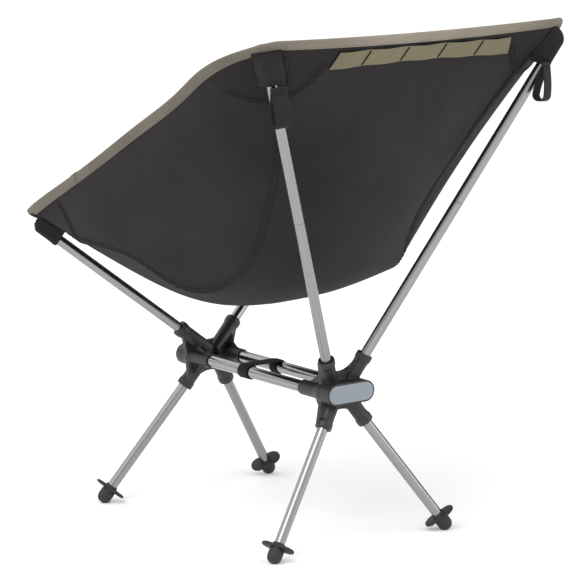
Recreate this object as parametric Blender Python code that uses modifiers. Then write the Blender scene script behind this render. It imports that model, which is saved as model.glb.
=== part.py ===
"""Ultralight backpacking chair.

Two plastic hub mouldings joined by two crossbars carry four legs, two seat poles and two back
poles. The poles' tips stand in pockets at the corners of a fabric sling. The sitter faces +Y
and +X is at the sitter's right. The origin is on the ground, under the middle of the whole
outline. Units are metres.
"""
import math

import bmesh
import bpy
import numpy as np
from mathutils import Matrix, Vector

# ---------------------------------------------------------------- driving dimensions
HUB_LEAD = 0.05251         # the hubs' midpoint stands this far ahead of the outline's middle
FIT_GAP = 0.0003           # gap between touching pieces

TUBE_OD = 0.013            # legs and poles
TUBE_WALL = 0.00075
BAR_OD = 0.015             # crossbars
BAR_WALL = 0.001
TUBE_SIDES = 20

HUB_Y = 0.137              # from the hubs' midpoint to a hub's centre
HUB_Z = 0.188
BAR_X = 0.0241             # crossbars, from the middle
SOCKET_DEPTH = 0.038       # how far a leg or pole goes into its socket
BAR_DEPTH = 0.030
SOCKET_OD = 0.018
SOCKET_LIP_OD = 0.021
SOCKET_LIP_LENGTH = 0.009
BAR_SOCKET_OD = 0.019
BAR_SOCKET_Y = 0.0985      # mouth of a crossbar socket
BLOCK_Y = (0.142, 0.1652)  # the hub's oval block, inner and outer face
BLOCK_WIDTH = 0.071
BLOCK_HEIGHT = 0.027
BADGE_WIDTH = 0.067
BADGE_HEIGHT = 0.023
BADGE_DEPTH = 0.0015
WEB_THICKNESS = 0.007

# socket mouth, and where the axis meets the foot's centre or the pocket's mouth (right side)
LEG_FRONT = ((0.0337, 0.1502, 0.1486), (0.1301, 0.1932, 0.0082))
LEG_REAR = ((0.0331, -0.1502, 0.1455), (0.1305, -0.1830, 0.0082))
SEAT_POLE = ((0.0433, 0.1456, 0.2272), (0.1948, 0.1892, 0.3523))
BACK_POLE = ((0.0299, -0.1537, 0.2315), (0.2011, -0.2854, 0.5895))
TIP_REACH = 0.030          # pole tip beyond the pocket's mouth
BACK_POLE_JOINT = 0.219    # section joint, from the socket's mouth
FERRULE_LENGTH = 0.060

FOOT_RADIUS = 0.0092
FOOT_COLLAR_RADIUS = 0.0080
FLANGE_LOBE_RADIUS = 0.0115
FLANGE_LOBE_OFFSET = 0.0093
FLANGE_THICKNESS = 0.0026
FOOT_TWIST = {"front_left": 110, "front_right": 135, "rear_left": 157, "rear_right": 105}

CLOTH = 0.0016             # sling panels
SLING_INSET = 0.0050       # panels stop this far inside the outline, where the binding lies
BINDING_RADIUS = 0.0021
SEAM_U = 0.6               # the panels' seam, as a share of the way across
CORNER_ROUND = 0.030       # how much the outline's corners are cut, as a share of the sling
CORNER_POWER = 16
SIDE_BULGE = (0.008, 0.0, -0.004)
# sections from the front hem to the top hem, right half: side edge, seam, middle
EDGE = [(0.241, 0.199, 0.391), (0.237, 0.110, 0.436), (0.240, 0.022, 0.479), (0.243, -0.065, 0.524),
        (0.242, -0.150, 0.570), (0.253, -0.233, 0.612), (0.221, -0.298, 0.642)]
SEAM = [(0.202, 0.186, 0.374), (0.207, 0.100, 0.361), (0.188, 0.025, 0.350), (0.155, -0.035, 0.315),
        (0.123, -0.105, 0.335), (0.123, -0.175, 0.439), (0.197, -0.312, 0.642)]
MIDDLE = [(0, 0.169, 0.346), (0, 0.129, 0.288), (0, 0.064, 0.267), (0, -0.036, 0.284),
          (0, -0.137, 0.337), (0, -0.226, 0.466), (0, -0.311, 0.639)]
REAR_CORNER = (0.55, 0.20)     # corner pieces' reach across and along the sling
FRONT_CORNER = (0.34, 0.125)
POCKET_INNER = 0.0075
POCKET_OUTER = 0.0087

STRAP_Y = 0.020            # keeper strap, ahead of the hubs' midpoint
STRAP_WIDTH = 0.020
STRAP_THICKNESS = 0.0016

COLOURS = {
    "hub_plastic": ((0.020, 0.020, 0.022), 0.45, 0.0),
    "badge": ((0.30, 0.33, 0.37), 0.35, 0.0),
    "anodised_grey": ((0.42, 0.42, 0.44), 0.30, 1.0),
    "bright_aluminium": ((0.62, 0.61, 0.60), 0.25, 1.0),
    "foot_rubber": ((0.030, 0.028, 0.030), 0.70, 0.0),
    "tip_plastic": ((0.025, 0.025, 0.027), 0.50, 0.0),
    "shock_cord": ((0.05, 0.05, 0.05), 0.80, 0.0),
    "sling_cloth": ((0.032, 0.030, 0.033), 0.85, 0.0),
    "binding": ((0.25, 0.22, 0.18), 0.80, 0.0),
    "webbing_khaki": ((0.28, 0.26, 0.17), 0.85, 0.0),
    "webbing_black": ((0.022, 0.021, 0.023), 0.80, 0.0),
}


# ---------------------------------------------------------------- scene helpers
def clear_scene():
    for obj in list(bpy.data.objects):
        bpy.data.objects.remove(obj, do_unlink=True)


def new_collection(name):
    collection = bpy.data.collections.new(name)
    bpy.context.scene.collection.children.link(collection)
    return collection


clear_scene()
CHAIR = new_collection("backpacking_chair")
CUTTERS = new_collection("cutters")


def make_material(name):
    colour, roughness, metallic = COLOURS[name]
    material = bpy.data.materials.new(name)
    material.use_nodes = True
    shader = material.node_tree.nodes["Principled BSDF"]
    shader.inputs["Base Color"].default_value = (*colour, 1)
    shader.inputs["Roughness"].default_value = roughness
    shader.inputs["Metallic"].default_value = metallic
    return material


MATERIALS = {name: make_material(name) for name in COLOURS}


def place(point):
    """A point measured from the hubs' midpoint, in the chair's frame."""
    return Vector((point[0], point[1] + HUB_LEAD, point[2]))


def mirrored(point):
    return (-point[0], point[1], point[2])


def add_object(name, data, material=None, collection=CHAIR):
    obj = bpy.data.objects.new(name, data)
    collection.objects.link(obj)
    if material:
        obj.data.materials.append(MATERIALS[material])
    return obj


def as_cutter(obj):
    for collection in list(obj.users_collection):
        collection.objects.unlink(obj)
    CUTTERS.objects.link(obj)
    obj.hide_render = True
    obj.display_type = "WIRE"
    return obj


def join_shape(obj, tool, operation="UNION"):
    modifier = obj.modifiers.new(operation.lower(), "BOOLEAN")
    modifier.operation = operation
    modifier.solver = "EXACT"
    modifier.object = tool
    as_cutter(tool)


def shade(obj, angle=35):
    obj.data.shade_smooth()
    obj.data.set_sharp_from_angle(angle=math.radians(angle))


def to_mesh(curve_object):
    """Turn a curve object into a closed mesh object with welded caps."""
    depsgraph = bpy.context.evaluated_depsgraph_get()
    mesh = bpy.data.meshes.new_from_object(curve_object.evaluated_get(depsgraph))
    work = bmesh.new()
    work.from_mesh(mesh)
    bmesh.ops.remove_doubles(work, verts=work.verts, dist=0.00001)
    work.to_mesh(mesh)
    work.free()
    obj = bpy.data.objects.new(curve_object.name + "_mesh", mesh)
    curve_object.users_collection[0].objects.link(obj)
    obj.matrix_world = curve_object.matrix_world
    name = curve_object.name
    bpy.data.objects.remove(curve_object, do_unlink=True)
    obj.name = name
    return obj


# ---------------------------------------------------------------- shape helpers
def turned(name, profile, material, sides=TUBE_SIDES, closed=False):
    """Turn a profile of (radius, height) about Z. Points on the axis become caps or a pole."""
    work = bmesh.new()
    angles = [2 * math.pi * i / sides for i in range(sides)]
    rings = []
    for radius, height in profile:
        if radius > 0:
            rings.append([work.verts.new((radius * math.cos(a), radius * math.sin(a), height))
                          for a in angles])
        else:
            rings.append(float(height))
    pairs = list(zip(rings, rings[1:]))
    if closed:
        pairs.append((rings[-1], rings[0]))
    for upper, lower in pairs:
        if isinstance(upper, float):
            cap_ring(work, lower, upper)
        elif isinstance(lower, float):
            cap_ring(work, upper, lower)
        else:
            for i in range(sides):
                j = (i + 1) % sides
                work.faces.new((upper[i], upper[j], lower[j], lower[i]))
    return finished(name, work, material)


def cap_ring(work, ring, height):
    """Close a ring with one flat face, or with a pole when the axis point is at another height."""
    if abs(ring[0].co.z - height) < 1e-7:
        work.faces.new(ring)
        return
    pole = work.verts.new((0, 0, height))
    for i, vert in enumerate(ring):
        work.faces.new((vert, ring[(i + 1) % len(ring)], pole))


def finished(name, work, material=None):
    """Face everything outwards and hand over the object."""
    bmesh.ops.recalc_face_normals(work, faces=work.faces)
    mesh = bpy.data.meshes.new(name)
    work.to_mesh(mesh)
    work.free()
    return add_object(name, mesh, material)


def hollow(name, inner, outer, low, high, material, sides=TUBE_SIDES):
    """A plain tube between two heights."""
    profile = [(outer, high), (outer, low), (inner, low), (inner, high)]
    return turned(name, profile, material, sides, closed=True)


def rod(name, radius, low, high, material, sides=TUBE_SIDES):
    return turned(name, [(0, high), (radius, high), (radius, low), (0, low)], material, sides)


def dome(radius, centre, steps=5, start=0.0):
    """Quarter circle from the pole on the axis down to the equator."""
    angles = [start + (math.pi / 2 - start) * i / steps for i in range(steps + 1)]
    return [(radius * math.sin(a), centre + radius * math.cos(a)) for a in angles]


def plate(name, outline, thickness, material):
    """A flat outline in local XY, thick along Z about its middle."""
    work = bmesh.new()
    low = [work.verts.new((x, y, -thickness / 2)) for x, y in outline]
    high = [work.verts.new((x, y, thickness / 2)) for x, y in outline]
    work.faces.new(low)
    work.faces.new(high)
    for i in range(len(outline)):
        j = (i + 1) % len(outline)
        work.faces.new((low[i], low[j], high[j], high[i]))
    return finished(name, work, material)


def stacked_rings(name, rings, side, facing):
    """A solid through circles that face along Y, each given as (x, y, radius)."""
    work = bmesh.new()
    loops = []
    for x, y, radius in rings:
        angles = [2 * math.pi * i / TUBE_SIDES for i in range(TUBE_SIDES)]
        loops.append([work.verts.new(place((side * (x + radius * math.cos(a)), facing * y,
                                            HUB_Z + radius * math.sin(a)))) for a in angles])
    for near, far in zip(loops, loops[1:]):
        for i in range(TUBE_SIDES):
            j = (i + 1) % TUBE_SIDES
            work.faces.new((near[i], near[j], far[j], far[i]))
    work.faces.new(loops[0])
    work.faces.new(loops[-1])
    return finished(name, work, "hub_plastic")


def box(name, size, centre):
    work = bmesh.new()
    bmesh.ops.create_cube(work, size=1)
    bmesh.ops.scale(work, verts=work.verts, vec=size)
    bmesh.ops.translate(work, verts=work.verts, vec=centre)
    return finished(name, work)


def arc(centre, radius, start, end, steps):
    """Points on an arc in degrees, both ends included."""
    angles = [math.radians(start + (end - start) * i / steps) for i in range(steps + 1)]
    return [(centre[0] + radius * math.cos(a), centre[1] + radius * math.sin(a)) for a in angles]


def stadium(width, height, steps=8):
    radius = height / 2
    reach = width / 2 - radius
    return arc((reach, 0), radius, -90, 90, steps) + arc((-reach, 0), radius, 90, 270, steps)


def aim(obj, start, end):
    """Put an object's origin at start with its local Z towards end."""
    obj.location = start
    obj.rotation_mode = "QUATERNION"
    obj.rotation_quaternion = (end - start).to_track_quat("Z", "Y")


def axis_empty(name, start, end):
    """The parent of a moving group: origin and Z on the joint's axis."""
    empty = add_object(name, None)
    aim(empty, start, end)
    return empty


def upright(obj, centre):
    """Stand a plate made in XY up in the XZ plane, thick along Y."""
    obj.matrix_world = Matrix.Translation(centre) @ Matrix.Rotation(math.pi / 2, 4, "X")


# ---------------------------------------------------------------- hubs and crossbars
def socket_arm(name, mouth, target):
    """A socket's body from inside the hub to its flared lip. The origin is at the mouth."""
    radius = SOCKET_OD / 2
    lip = SOCKET_LIP_OD / 2
    deep = -0.052
    profile = [(0, 0), (lip - 0.0008, 0), (lip, -0.0012), (lip, -SOCKET_LIP_LENGTH + 0.003),
               (radius, -SOCKET_LIP_LENGTH), (radius, deep), (0, deep)]
    arm = turned(name, profile, "hub_plastic")
    aim(arm, mouth, target)
    return arm


def socket_bore(name, radius, depth, mouth, target):
    bore = rod(name, radius, -depth, 0.01, None)
    aim(bore, mouth, target)
    return bore


def bar_socket(name, side, facing):
    """A crossbar socket: round and narrow at its mouth, swelling into the end of the oval block."""
    radius = BAR_SOCKET_OD / 2
    wide = BLOCK_HEIGHT / 2 - 0.0002
    inboard = BLOCK_WIDTH / 2 - BLOCK_HEIGHT / 2
    rings = [(BAR_X, BAR_SOCKET_Y, radius - 0.0008), (BAR_X, BAR_SOCKET_Y + 0.001, radius),
             (BAR_X, 0.127, radius), (BAR_X - 0.0006, 0.134, radius + 0.0014),
             (inboard, BLOCK_Y[0] + 0.0005, wide), (inboard, 0.158, wide)]
    return stacked_rings(name, rings, side, facing)


def saddle(left_x, left_z, right_x, right_z, dip, steps=8):
    """A hanging curve between two points that dips below their chord."""
    points = []
    for i in range(steps + 1):
        t = i / steps
        x = left_x + (right_x - left_x) * t
        chord = left_z + (right_z - left_z) * t
        points.append((x, chord - dip * math.sin(math.pi * t) ** 0.8))
    return points


def web_outline(upper, lower):
    """Front outline of the web that joins a hub's four arms, round from the upper saddle."""
    ux, uz = upper[0] * 0.86, upper[2] - HUB_Z - 0.006
    lx, lz = lower[0] * 0.86, lower[2] - HUB_Z + 0.006
    top = saddle(-ux, uz, ux, uz, 0.014)
    right = [(z, x) for x, z in saddle(uz, ux + 0.006, lz, lx + 0.006, 0.0035, 5)]
    bottom = [(x, z) for x, z in saddle(lx, lz, -lx, lz, -0.013)]
    left = [(-x, z) for x, z in reversed(right)]
    return top + right + bottom + left


def make_hub(name, facing, upper, lower):
    """One hub: oval block, two crossbar sockets, four arm sockets and the web between them."""
    middle_y = facing * sum(BLOCK_Y) / 2
    hub = plate(name, stadium(BLOCK_WIDTH, BLOCK_HEIGHT), BLOCK_Y[1] - BLOCK_Y[0], "hub_plastic")
    upright(hub, place((0, middle_y, HUB_Z)))
    web = plate(name + "_web", web_outline(upper[0], lower[0]), WEB_THICKNESS, "hub_plastic")
    upright(web, place((0, facing * (HUB_Y + 0.0035), HUB_Z)))
    join_shape(hub, web)
    for side in (-1, 1):
        join_shape(hub, bar_socket(f"{name}_bar_socket_{side}", side, facing))
        for label, (mouth, target) in (("upper", upper), ("lower", lower)):
            mouth = place((side * mouth[0], mouth[1], mouth[2]))
            target = place((side * target[0], target[1], target[2]))
            join_shape(hub, socket_arm(f"{name}_{label}_arm_{side}", mouth, target))
    for side in (-1, 1):
        for label, (mouth, target) in (("upper", upper), ("lower", lower)):
            mouth = place((side * mouth[0], mouth[1], mouth[2]))
            target = place((side * target[0], target[1], target[2]))
            bore = socket_bore(f"{name}_{label}_bore_{side}", TUBE_OD / 2 + FIT_GAP,
                               SOCKET_DEPTH + FIT_GAP, mouth, target)
            join_shape(hub, bore, "DIFFERENCE")
        mouth = place((side * BAR_X, facing * BAR_SOCKET_Y, HUB_Z))
        bore = socket_bore(f"{name}_bar_bore_{side}", BAR_OD / 2 + FIT_GAP, BAR_DEPTH + FIT_GAP,
                           mouth, mouth - Vector((0, facing, 0)))
        join_shape(hub, bore, "DIFFERENCE")
    recess_size = (BADGE_WIDTH + 2 * FIT_GAP, BADGE_HEIGHT + 2 * FIT_GAP)
    recess = plate(name + "_recess", stadium(*recess_size), 2 * BADGE_DEPTH + 2 * FIT_GAP, None)
    upright(recess, place((0, facing * BLOCK_Y[1], HUB_Z)))
    join_shape(hub, recess, "DIFFERENCE")
    weld = hub.modifiers.new("weld", "WELD")
    weld.merge_threshold = 0.00002
    shade(hub)
    return hub


def make_badge(name, facing):
    badge = plate(name, stadium(BADGE_WIDTH, BADGE_HEIGHT), BADGE_DEPTH, "badge")
    upright(badge, place((0, facing * (BLOCK_Y[1] - BADGE_DEPTH / 2 + 0.0003), HUB_Z)))
    return badge


def make_crossbar(name, side):
    half = BAR_SOCKET_Y + BAR_DEPTH
    bar = hollow(name, BAR_OD / 2 - BAR_WALL, BAR_OD / 2, -half, half, "bright_aluminium")
    centre = place((side * BAR_X, 0, HUB_Z))
    aim(bar, centre, centre + Vector((0, 1, 0)))
    return bar


def make_keeper_strap():
    """A webbing strap: a snug loop round each crossbar and a flat run over the top of both."""
    inner = BAR_OD / 2 + FIT_GAP
    outer = inner + STRAP_THICKNESS
    centre = place((0, STRAP_Y, HUB_Z))
    run = plate("keeper_strap", [(-BAR_X, inner), (BAR_X, inner), (BAR_X, outer), (-BAR_X, outer)],
                STRAP_WIDTH, "webbing_black")
    upright(run, centre)
    for side in (-1, 1):
        loop = hollow(f"strap_loop_{side}", inner, outer, -STRAP_WIDTH / 2, STRAP_WIDTH / 2,
                      "webbing_black")
        start = centre + Vector((side * BAR_X, 0, 0))
        aim(loop, start, start + Vector((0, 1, 0)))
        join_shape(run, loop)
    for side in (-1, 1):
        bore = rod(f"strap_bore_{side}", inner, -STRAP_WIDTH, STRAP_WIDTH, None)
        start = centre + Vector((side * BAR_X, 0, 0))
        aim(bore, start, start + Vector((0, 1, 0)))
        join_shape(run, bore, "DIFFERENCE")
    return run


# ---------------------------------------------------------------- legs
def peanut():
    """Outline of a foot's flange: two round lobes joined by a waist."""
    radius, reach = FLANGE_LOBE_RADIUS, FLANGE_LOBE_OFFSET
    return arc((reach, 0), radius, -135, 135, 12) + arc((-reach, 0), radius, 45, 315, 12)


def make_foot(name, centre_height, twist, axis):
    """Rubber foot: collar over the tube's end, two-lobed flange and a rounded tip."""
    top = centre_height - 0.0170
    inner = TUBE_OD / 2 + FIT_GAP
    bottom_of_bore = centre_height - 0.004
    tip = [(r, centre_height + z) for r, z in dome(FOOT_RADIUS, 0)]
    profile = tip + [(FOOT_RADIUS, centre_height - 0.010), (FOOT_COLLAR_RADIUS, centre_height - 0.0122),
                     (FOOT_COLLAR_RADIUS, top), (0, top)]
    foot = turned(name, profile, "foot_rubber")
    foot.parent = axis
    flange = plate(name + "_flange", peanut(), FLANGE_THICKNESS, "foot_rubber")
    flange.parent = axis
    flange.location = (0, 0, centre_height - 0.012)
    flange.rotation_euler = (0, 0, math.radians(twist))
    join_shape(foot, flange)
    keep_clear = rod(name + "_bore", inner, centre_height - 0.04, bottom_of_bore, None)
    keep_clear.parent = axis
    join_shape(foot, keep_clear, "DIFFERENCE")
    ground = box(name + "_ground", (0.8, 0.8, 0.1), (0, 0, -0.05))
    join_shape(foot, ground, "DIFFERENCE")
    return foot


def make_leg(where, mouth, target):
    start, end = place(mouth), place(target)
    length = (end - start).length
    axis = axis_empty(f"leg_axis_{where}", start, end)
    tube = hollow(f"leg_tube_{where}", TUBE_OD / 2 - TUBE_WALL, TUBE_OD / 2, -SOCKET_DEPTH,
                  length - 0.0045, "anodised_grey")
    cord = rod(f"leg_cord_{where}", 0.0015, 0.002 - SOCKET_DEPTH, length - 0.008, "shock_cord", 8)
    for piece in (tube, cord):
        piece.parent = axis
    make_foot(f"foot_{where}", length, FOOT_TWIST[where], axis)


# ---------------------------------------------------------------- sling poles
def make_tip(name, tube_end, axis):
    """Plug in a pole's upper end, with a domed head a little wider than the tube."""
    head = 0.0071
    spigot = TUBE_OD / 2 - TUBE_WALL - FIT_GAP
    seat = tube_end + FIT_GAP
    top = tube_end + 0.008
    profile = [(r, top - head * 0.6 + z * 0.6) for r, z in dome(head, 0)]
    profile += [(head, seat), (spigot, seat), (spigot, tube_end - 0.012), (0, tube_end - 0.012)]
    tip = turned(name, profile, "tip_plastic")
    tip.parent = axis


def make_pocket(name, mouth_height, axis):
    """Sleeve of the sling's corner that the pole's tip stands in, closed at its end."""
    low = mouth_height - 0.002
    end = mouth_height + TIP_REACH + 0.0035
    profile = [(0, end), (POCKET_OUTER * 0.7, end), (POCKET_OUTER, end - 0.004), (POCKET_OUTER, low),
               (POCKET_INNER, low), (POCKET_INNER, end - 0.003), (0, end - 0.003)]
    pocket = turned(name, profile, "sling_cloth")
    pocket.parent = axis


def make_seat_pole(side_name, side):
    start = place((side * SEAT_POLE[0][0], *SEAT_POLE[0][1:]))
    end = place((side * SEAT_POLE[1][0], *SEAT_POLE[1][1:]))
    mouth = (end - start).length
    tube_end = mouth + TIP_REACH - 0.008
    axis = axis_empty(f"seat_pole_axis_{side_name}", start, end)
    tube = hollow(f"seat_pole_{side_name}", TUBE_OD / 2 - TUBE_WALL, TUBE_OD / 2, -SOCKET_DEPTH,
                  tube_end, "anodised_grey")
    cord = rod(f"seat_pole_cord_{side_name}", 0.0015, 0.002 - SOCKET_DEPTH, tube_end - 0.013,
               "shock_cord", 8)
    for piece in (tube, cord):
        piece.parent = axis
    make_tip(f"seat_pole_tip_{side_name}", tube_end, axis)
    make_pocket(f"front_pocket_{side_name}", mouth, axis)


def make_back_pole(side_name, side):
    """Back pole in two sections over an inner ferrule."""
    start = place((side * BACK_POLE[0][0], *BACK_POLE[0][1:]))
    end = place((side * BACK_POLE[1][0], *BACK_POLE[1][1:]))
    mouth = (end - start).length
    tube_end = mouth + TIP_REACH - 0.008
    joint = BACK_POLE_JOINT
    axis = axis_empty(f"back_pole_axis_{side_name}", start, end)
    bore = TUBE_OD / 2 - TUBE_WALL
    lower = hollow(f"back_pole_lower_{side_name}", bore, TUBE_OD / 2, -SOCKET_DEPTH,
                   joint - FIT_GAP / 2, "anodised_grey")
    upper = hollow(f"back_pole_upper_{side_name}", bore, TUBE_OD / 2, joint + FIT_GAP / 2, tube_end,
                   "anodised_grey")
    ferrule = hollow(f"back_pole_ferrule_{side_name}", bore - 0.0014, bore - FIT_GAP,
                     joint - FERRULE_LENGTH / 2, joint + FERRULE_LENGTH / 2, "anodised_grey")
    cord = rod(f"back_pole_cord_{side_name}", 0.0015, 0.002 - SOCKET_DEPTH, tube_end - 0.013,
               "shock_cord", 8)
    for piece in (lower, upper, ferrule, cord):
        piece.parent = axis
    make_tip(f"back_pole_tip_{side_name}", tube_end, axis)
    make_pocket(f"rear_pocket_{side_name}", mouth, axis)
    make_pull_tab(f"pull_tab_{side_name}", side, end)


def make_pull_tab(name, side, mouth):
    """A folded webbing loop that hangs behind the rear pocket's mouth."""
    length, half_gap, width, cloth = 0.046, 0.0075, 0.020, 0.0016
    facing = Vector((side * 0.200, -0.980, 0))
    across = Vector((0.980, side * 0.200, 0))
    path = [(0, 0.0015)]
    path += [(half_gap * math.sin(math.pi * t / 2), -length * t) for t in (0.15, 0.35, 0.6, 0.85)]
    bottom = arc((0, -length * 0.88), half_gap, 0, -180, 6)
    path += bottom[1:-1]
    path += [(-x, z) for x, z in reversed(path[1:5])]
    work = bmesh.new()
    ring = [work.verts.new((x, 0, z)) for x, z in path]
    for i, vert in enumerate(ring):
        work.edges.new((vert, ring[(i + 1) % len(ring)]))
    grown = bmesh.ops.extrude_edge_only(work, edges=work.edges)
    new_points = [item for item in grown["geom"] if isinstance(item, bmesh.types.BMVert)]
    bmesh.ops.translate(work, verts=new_points, vec=(0, width, 0))
    bmesh.ops.translate(work, verts=work.verts, vec=(0, -width / 2, 0))
    tab = finished(name, work, "webbing_black")
    solid = tab.modifiers.new("cloth", "SOLIDIFY")
    solid.thickness = cloth
    solid.offset = 0
    hinge = mouth + Vector((-side * 0.0085, -0.0130, -0.0010))
    axes = Matrix((facing, across, Vector((0, 0, 1)))).transposed().to_4x4()
    tab.matrix_world = Matrix.Translation(hinge) @ axes


# ---------------------------------------------------------------- sling
def spline_through(rows):
    """Natural cubic spline through equally spaced rows, as a function of 0 to 1."""
    rows = np.array(rows, float)
    last = len(rows) - 1
    system = np.eye(last + 1)
    right = np.zeros_like(rows)
    for i in range(1, last):
        system[i, i - 1:i + 2] = 1, 4, 1
        right[i] = 6 * (rows[i - 1] - 2 * rows[i] + rows[i + 1])
    bend = np.linalg.solve(system, right)

    def at(v):
        i = min(max(int(v * last), 0), last - 1)
        b = v * last - i
        a = 1 - b
        return a * rows[i] + b * rows[i + 1] + ((a**3 - a) * bend[i] + (b**3 - b) * bend[i + 1]) / 6

    return at


edge_at = spline_through(EDGE)
seam_at = spline_through(SEAM)
middle_at = spline_through(MIDDLE)


def sling_point(s, t):
    """The sling's middle surface: s from -1 to 1 across, t from 0 at the front to 1 at the top."""
    along = 2 * t - 1
    u = abs(s) * (1 - CORNER_ROUND * abs(along) ** CORNER_POWER)
    v = 0.5 + along * (1 - CORNER_ROUND * abs(s) ** CORNER_POWER) / 2
    edge, seam, middle = edge_at(v), seam_at(v), middle_at(v)
    if u < SEAM_U:
        a = u / SEAM_U
        point = middle + (seam - middle) * np.array((a, a * a, a * a))
    else:
        b = (u - SEAM_U) / (1 - SEAM_U)
        swell = 4 * b * (1 - b) * math.sin(math.pi * v)
        point = seam + (edge - seam) * b + np.array(SIDE_BULGE) * swell
    return place((math.copysign(point[0], s), point[1], point[2]))


def outward(s, t):
    """Normal of the sling, away from the sitter."""
    step = 0.004
    s0, s1 = max(s - step, -1), min(s + step, 1)
    t0, t1 = max(t - step, 0), min(t + step, 1)
    across = sling_point(s1, t) - sling_point(s0, t)
    along = sling_point(s, t1) - sling_point(s, t0)
    return across.cross(along).normalized()


def inset_s(t, distance):
    """How far across the sling stands a given distance inside its side edge."""
    depth = (sling_point(1, t) - sling_point(SEAM_U, t)).length
    return 1 - (1 - SEAM_U) * distance / depth


def inset_t(s, distance, top):
    """How far along the sling stands a given distance inside its top or front hem."""
    step = 0.01
    end = 1 if top else 0
    inner = end - step if top else end + step
    pace = (sling_point(s, end) - sling_point(s, inner)).length / step
    return end - distance / pace if top else distance / pace


def skin(name, mapping, segments, material, thickness=CLOTH, height=0.0):
    """A thin solid on the sling: mapping takes a unit square to (s, t)."""
    work = bmesh.new()
    bmesh.ops.create_grid(work, x_segments=segments[0], y_segments=segments[1], size=0.5)
    for vert in work.verts:
        s, t = mapping(vert.co.x + 0.5, vert.co.y + 0.5)
        vert.co = sling_point(s, t) + outward(s, t) * height
    obj = finished(name, work, material)
    solid = obj.modifiers.new("cloth", "SOLIDIFY")
    solid.thickness = thickness
    solid.offset = 0
    return obj


def hem_range(s):
    return inset_t(s, SLING_INSET, False), inset_t(s, SLING_INSET, True)


def middle_panel(x, y):
    s = (2 * x - 1) * (SEAM_U - 0.003)
    low, high = hem_range(s)
    return s, low + (high - low) * y


def side_panel(side):
    def mapping(x, y):
        near, far = SEAM_U + 0.003, inset_s(y, SLING_INSET)
        s = near + (far - near) * x
        low, high = hem_range(s)
        return side * s, low + (high - low) * y
    return mapping


def corner_region(side, top, grow=1.0, start=0.0):
    """A rounded quarter disc of the sling at one corner."""
    reach_s, reach_t = REAR_CORNER if top else FRONT_CORNER

    def mapping(x, y):
        x, y = start + (1 - start) * x, start + (1 - start) * y
        a = x * math.sqrt(1 - y * y / 2) * reach_s * grow
        b = y * math.sqrt(1 - x * x / 2) * reach_t * grow
        return side * (1 - a), (1 - b if top else b)
    return mapping


def make_corners():
    """Corner pieces that move with the poles, and the clearances they need in the panels."""
    clearances = []
    for side_name, side in (("left", -1), ("right", 1)):
        for place_name, top in (("front", False), ("rear", True)):
            name = f"{place_name}_corner_{side_name}"
            skin(name, corner_region(side, top, start=0.01), (7, 7), "sling_cloth")
            cutter = skin(name + "_clearance", corner_region(side, top, grow=1.012), (9, 9), None,
                          thickness=0.03)
            clearances.append((side, as_cutter(cutter)))
    return clearances


def cut_by(obj, cutters):
    for cutter in cutters:
        modifier = obj.modifiers.new("corner", "BOOLEAN")
        modifier.operation = "DIFFERENCE"
        modifier.solver = "EXACT"
        modifier.object = cutter


def bead(name, points, radius, material, resolution=2):
    """A round cord along a row of points."""
    curve = bpy.data.curves.new(name, "CURVE")
    curve.dimensions = "3D"
    curve.bevel_depth = radius
    curve.bevel_resolution = resolution
    curve.use_fill_caps = True
    spline = curve.splines.new("POLY")
    spline.points.add(len(points) - 1)
    for point, co in zip(spline.points, points):
        point.co = (*co, 1)
    return to_mesh(add_object(name, curve, material))


def make_bindings(clearances):
    """Edge binding along both sides, the top and the front, between the corner pieces."""
    depth = BINDING_RADIUS + 0.0002
    for side_name, side in (("left", -1), ("right", 1)):
        low, high = FRONT_CORNER[1] + 0.003, 1 - REAR_CORNER[1] - 0.003
        stations = [low + (high - low) * i / 18 for i in range(19)]
        points = [sling_point(side * inset_s(t, depth), t) for t in stations]
        bead(f"side_binding_{side_name}", points, BINDING_RADIUS, "binding")
    for name, top, reach in (("top_binding", True, REAR_CORNER[0]), ("front_hem", False, FRONT_CORNER[0])):
        limit = 1 - reach - 0.008
        stations = [-limit + 2 * limit * i / 18 for i in range(19)]
        points = [sling_point(s, inset_t(s, depth, top)) for s in stations]
        bead(name, points, BINDING_RADIUS, "binding")


def make_daisy_chain():
    """Webbing strip sewn across the outside of the upper back."""
    half_length, width, drop = 0.135, 0.020, 0.016
    cloth = 0.0012
    top_x = abs(sling_point(SEAM_U, 0.98).x)
    reach = SEAM_U * half_length / top_x
    mid_pace = (sling_point(0, 1) - sling_point(0, 0.95)).length / 0.05

    def mapping(x, y):
        return (2 * x - 1) * reach, 1 - (drop + width * (1 - y)) / mid_pace

    skin("daisy_chain", mapping, (12, 2), "webbing_khaki", cloth, CLOTH / 2 + cloth / 2 + 0.0005)


def make_side_tabs():
    """Small folded tab of binding over each side edge."""
    cloth = 0.0010
    for side_name, side in (("left", -1), ("right", 1)):
        def mapping(x, y):
            t = 0.205 + 0.020 * y
            return side * (inset_s(t, 0.0065 + 0.006 * x)), t
        skin(f"side_tab_{side_name}", mapping, (2, 2), "binding", cloth, CLOTH / 2 + cloth / 2 + 0.0004)


def make_sling():
    clearances = make_corners()
    panel = skin("middle_panel", middle_panel, (16, 22), "sling_cloth")
    cut_by(panel, [cutter for side, cutter in clearances])
    for side_name, side in (("left", -1), ("right", 1)):
        panel = skin(f"side_panel_{side_name}", side_panel(side), (7, 20), "sling_cloth")
        cut_by(panel, [cutter for its_side, cutter in clearances if its_side == side])
    make_bindings(clearances)
    make_daisy_chain()
    make_side_tabs()


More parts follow.
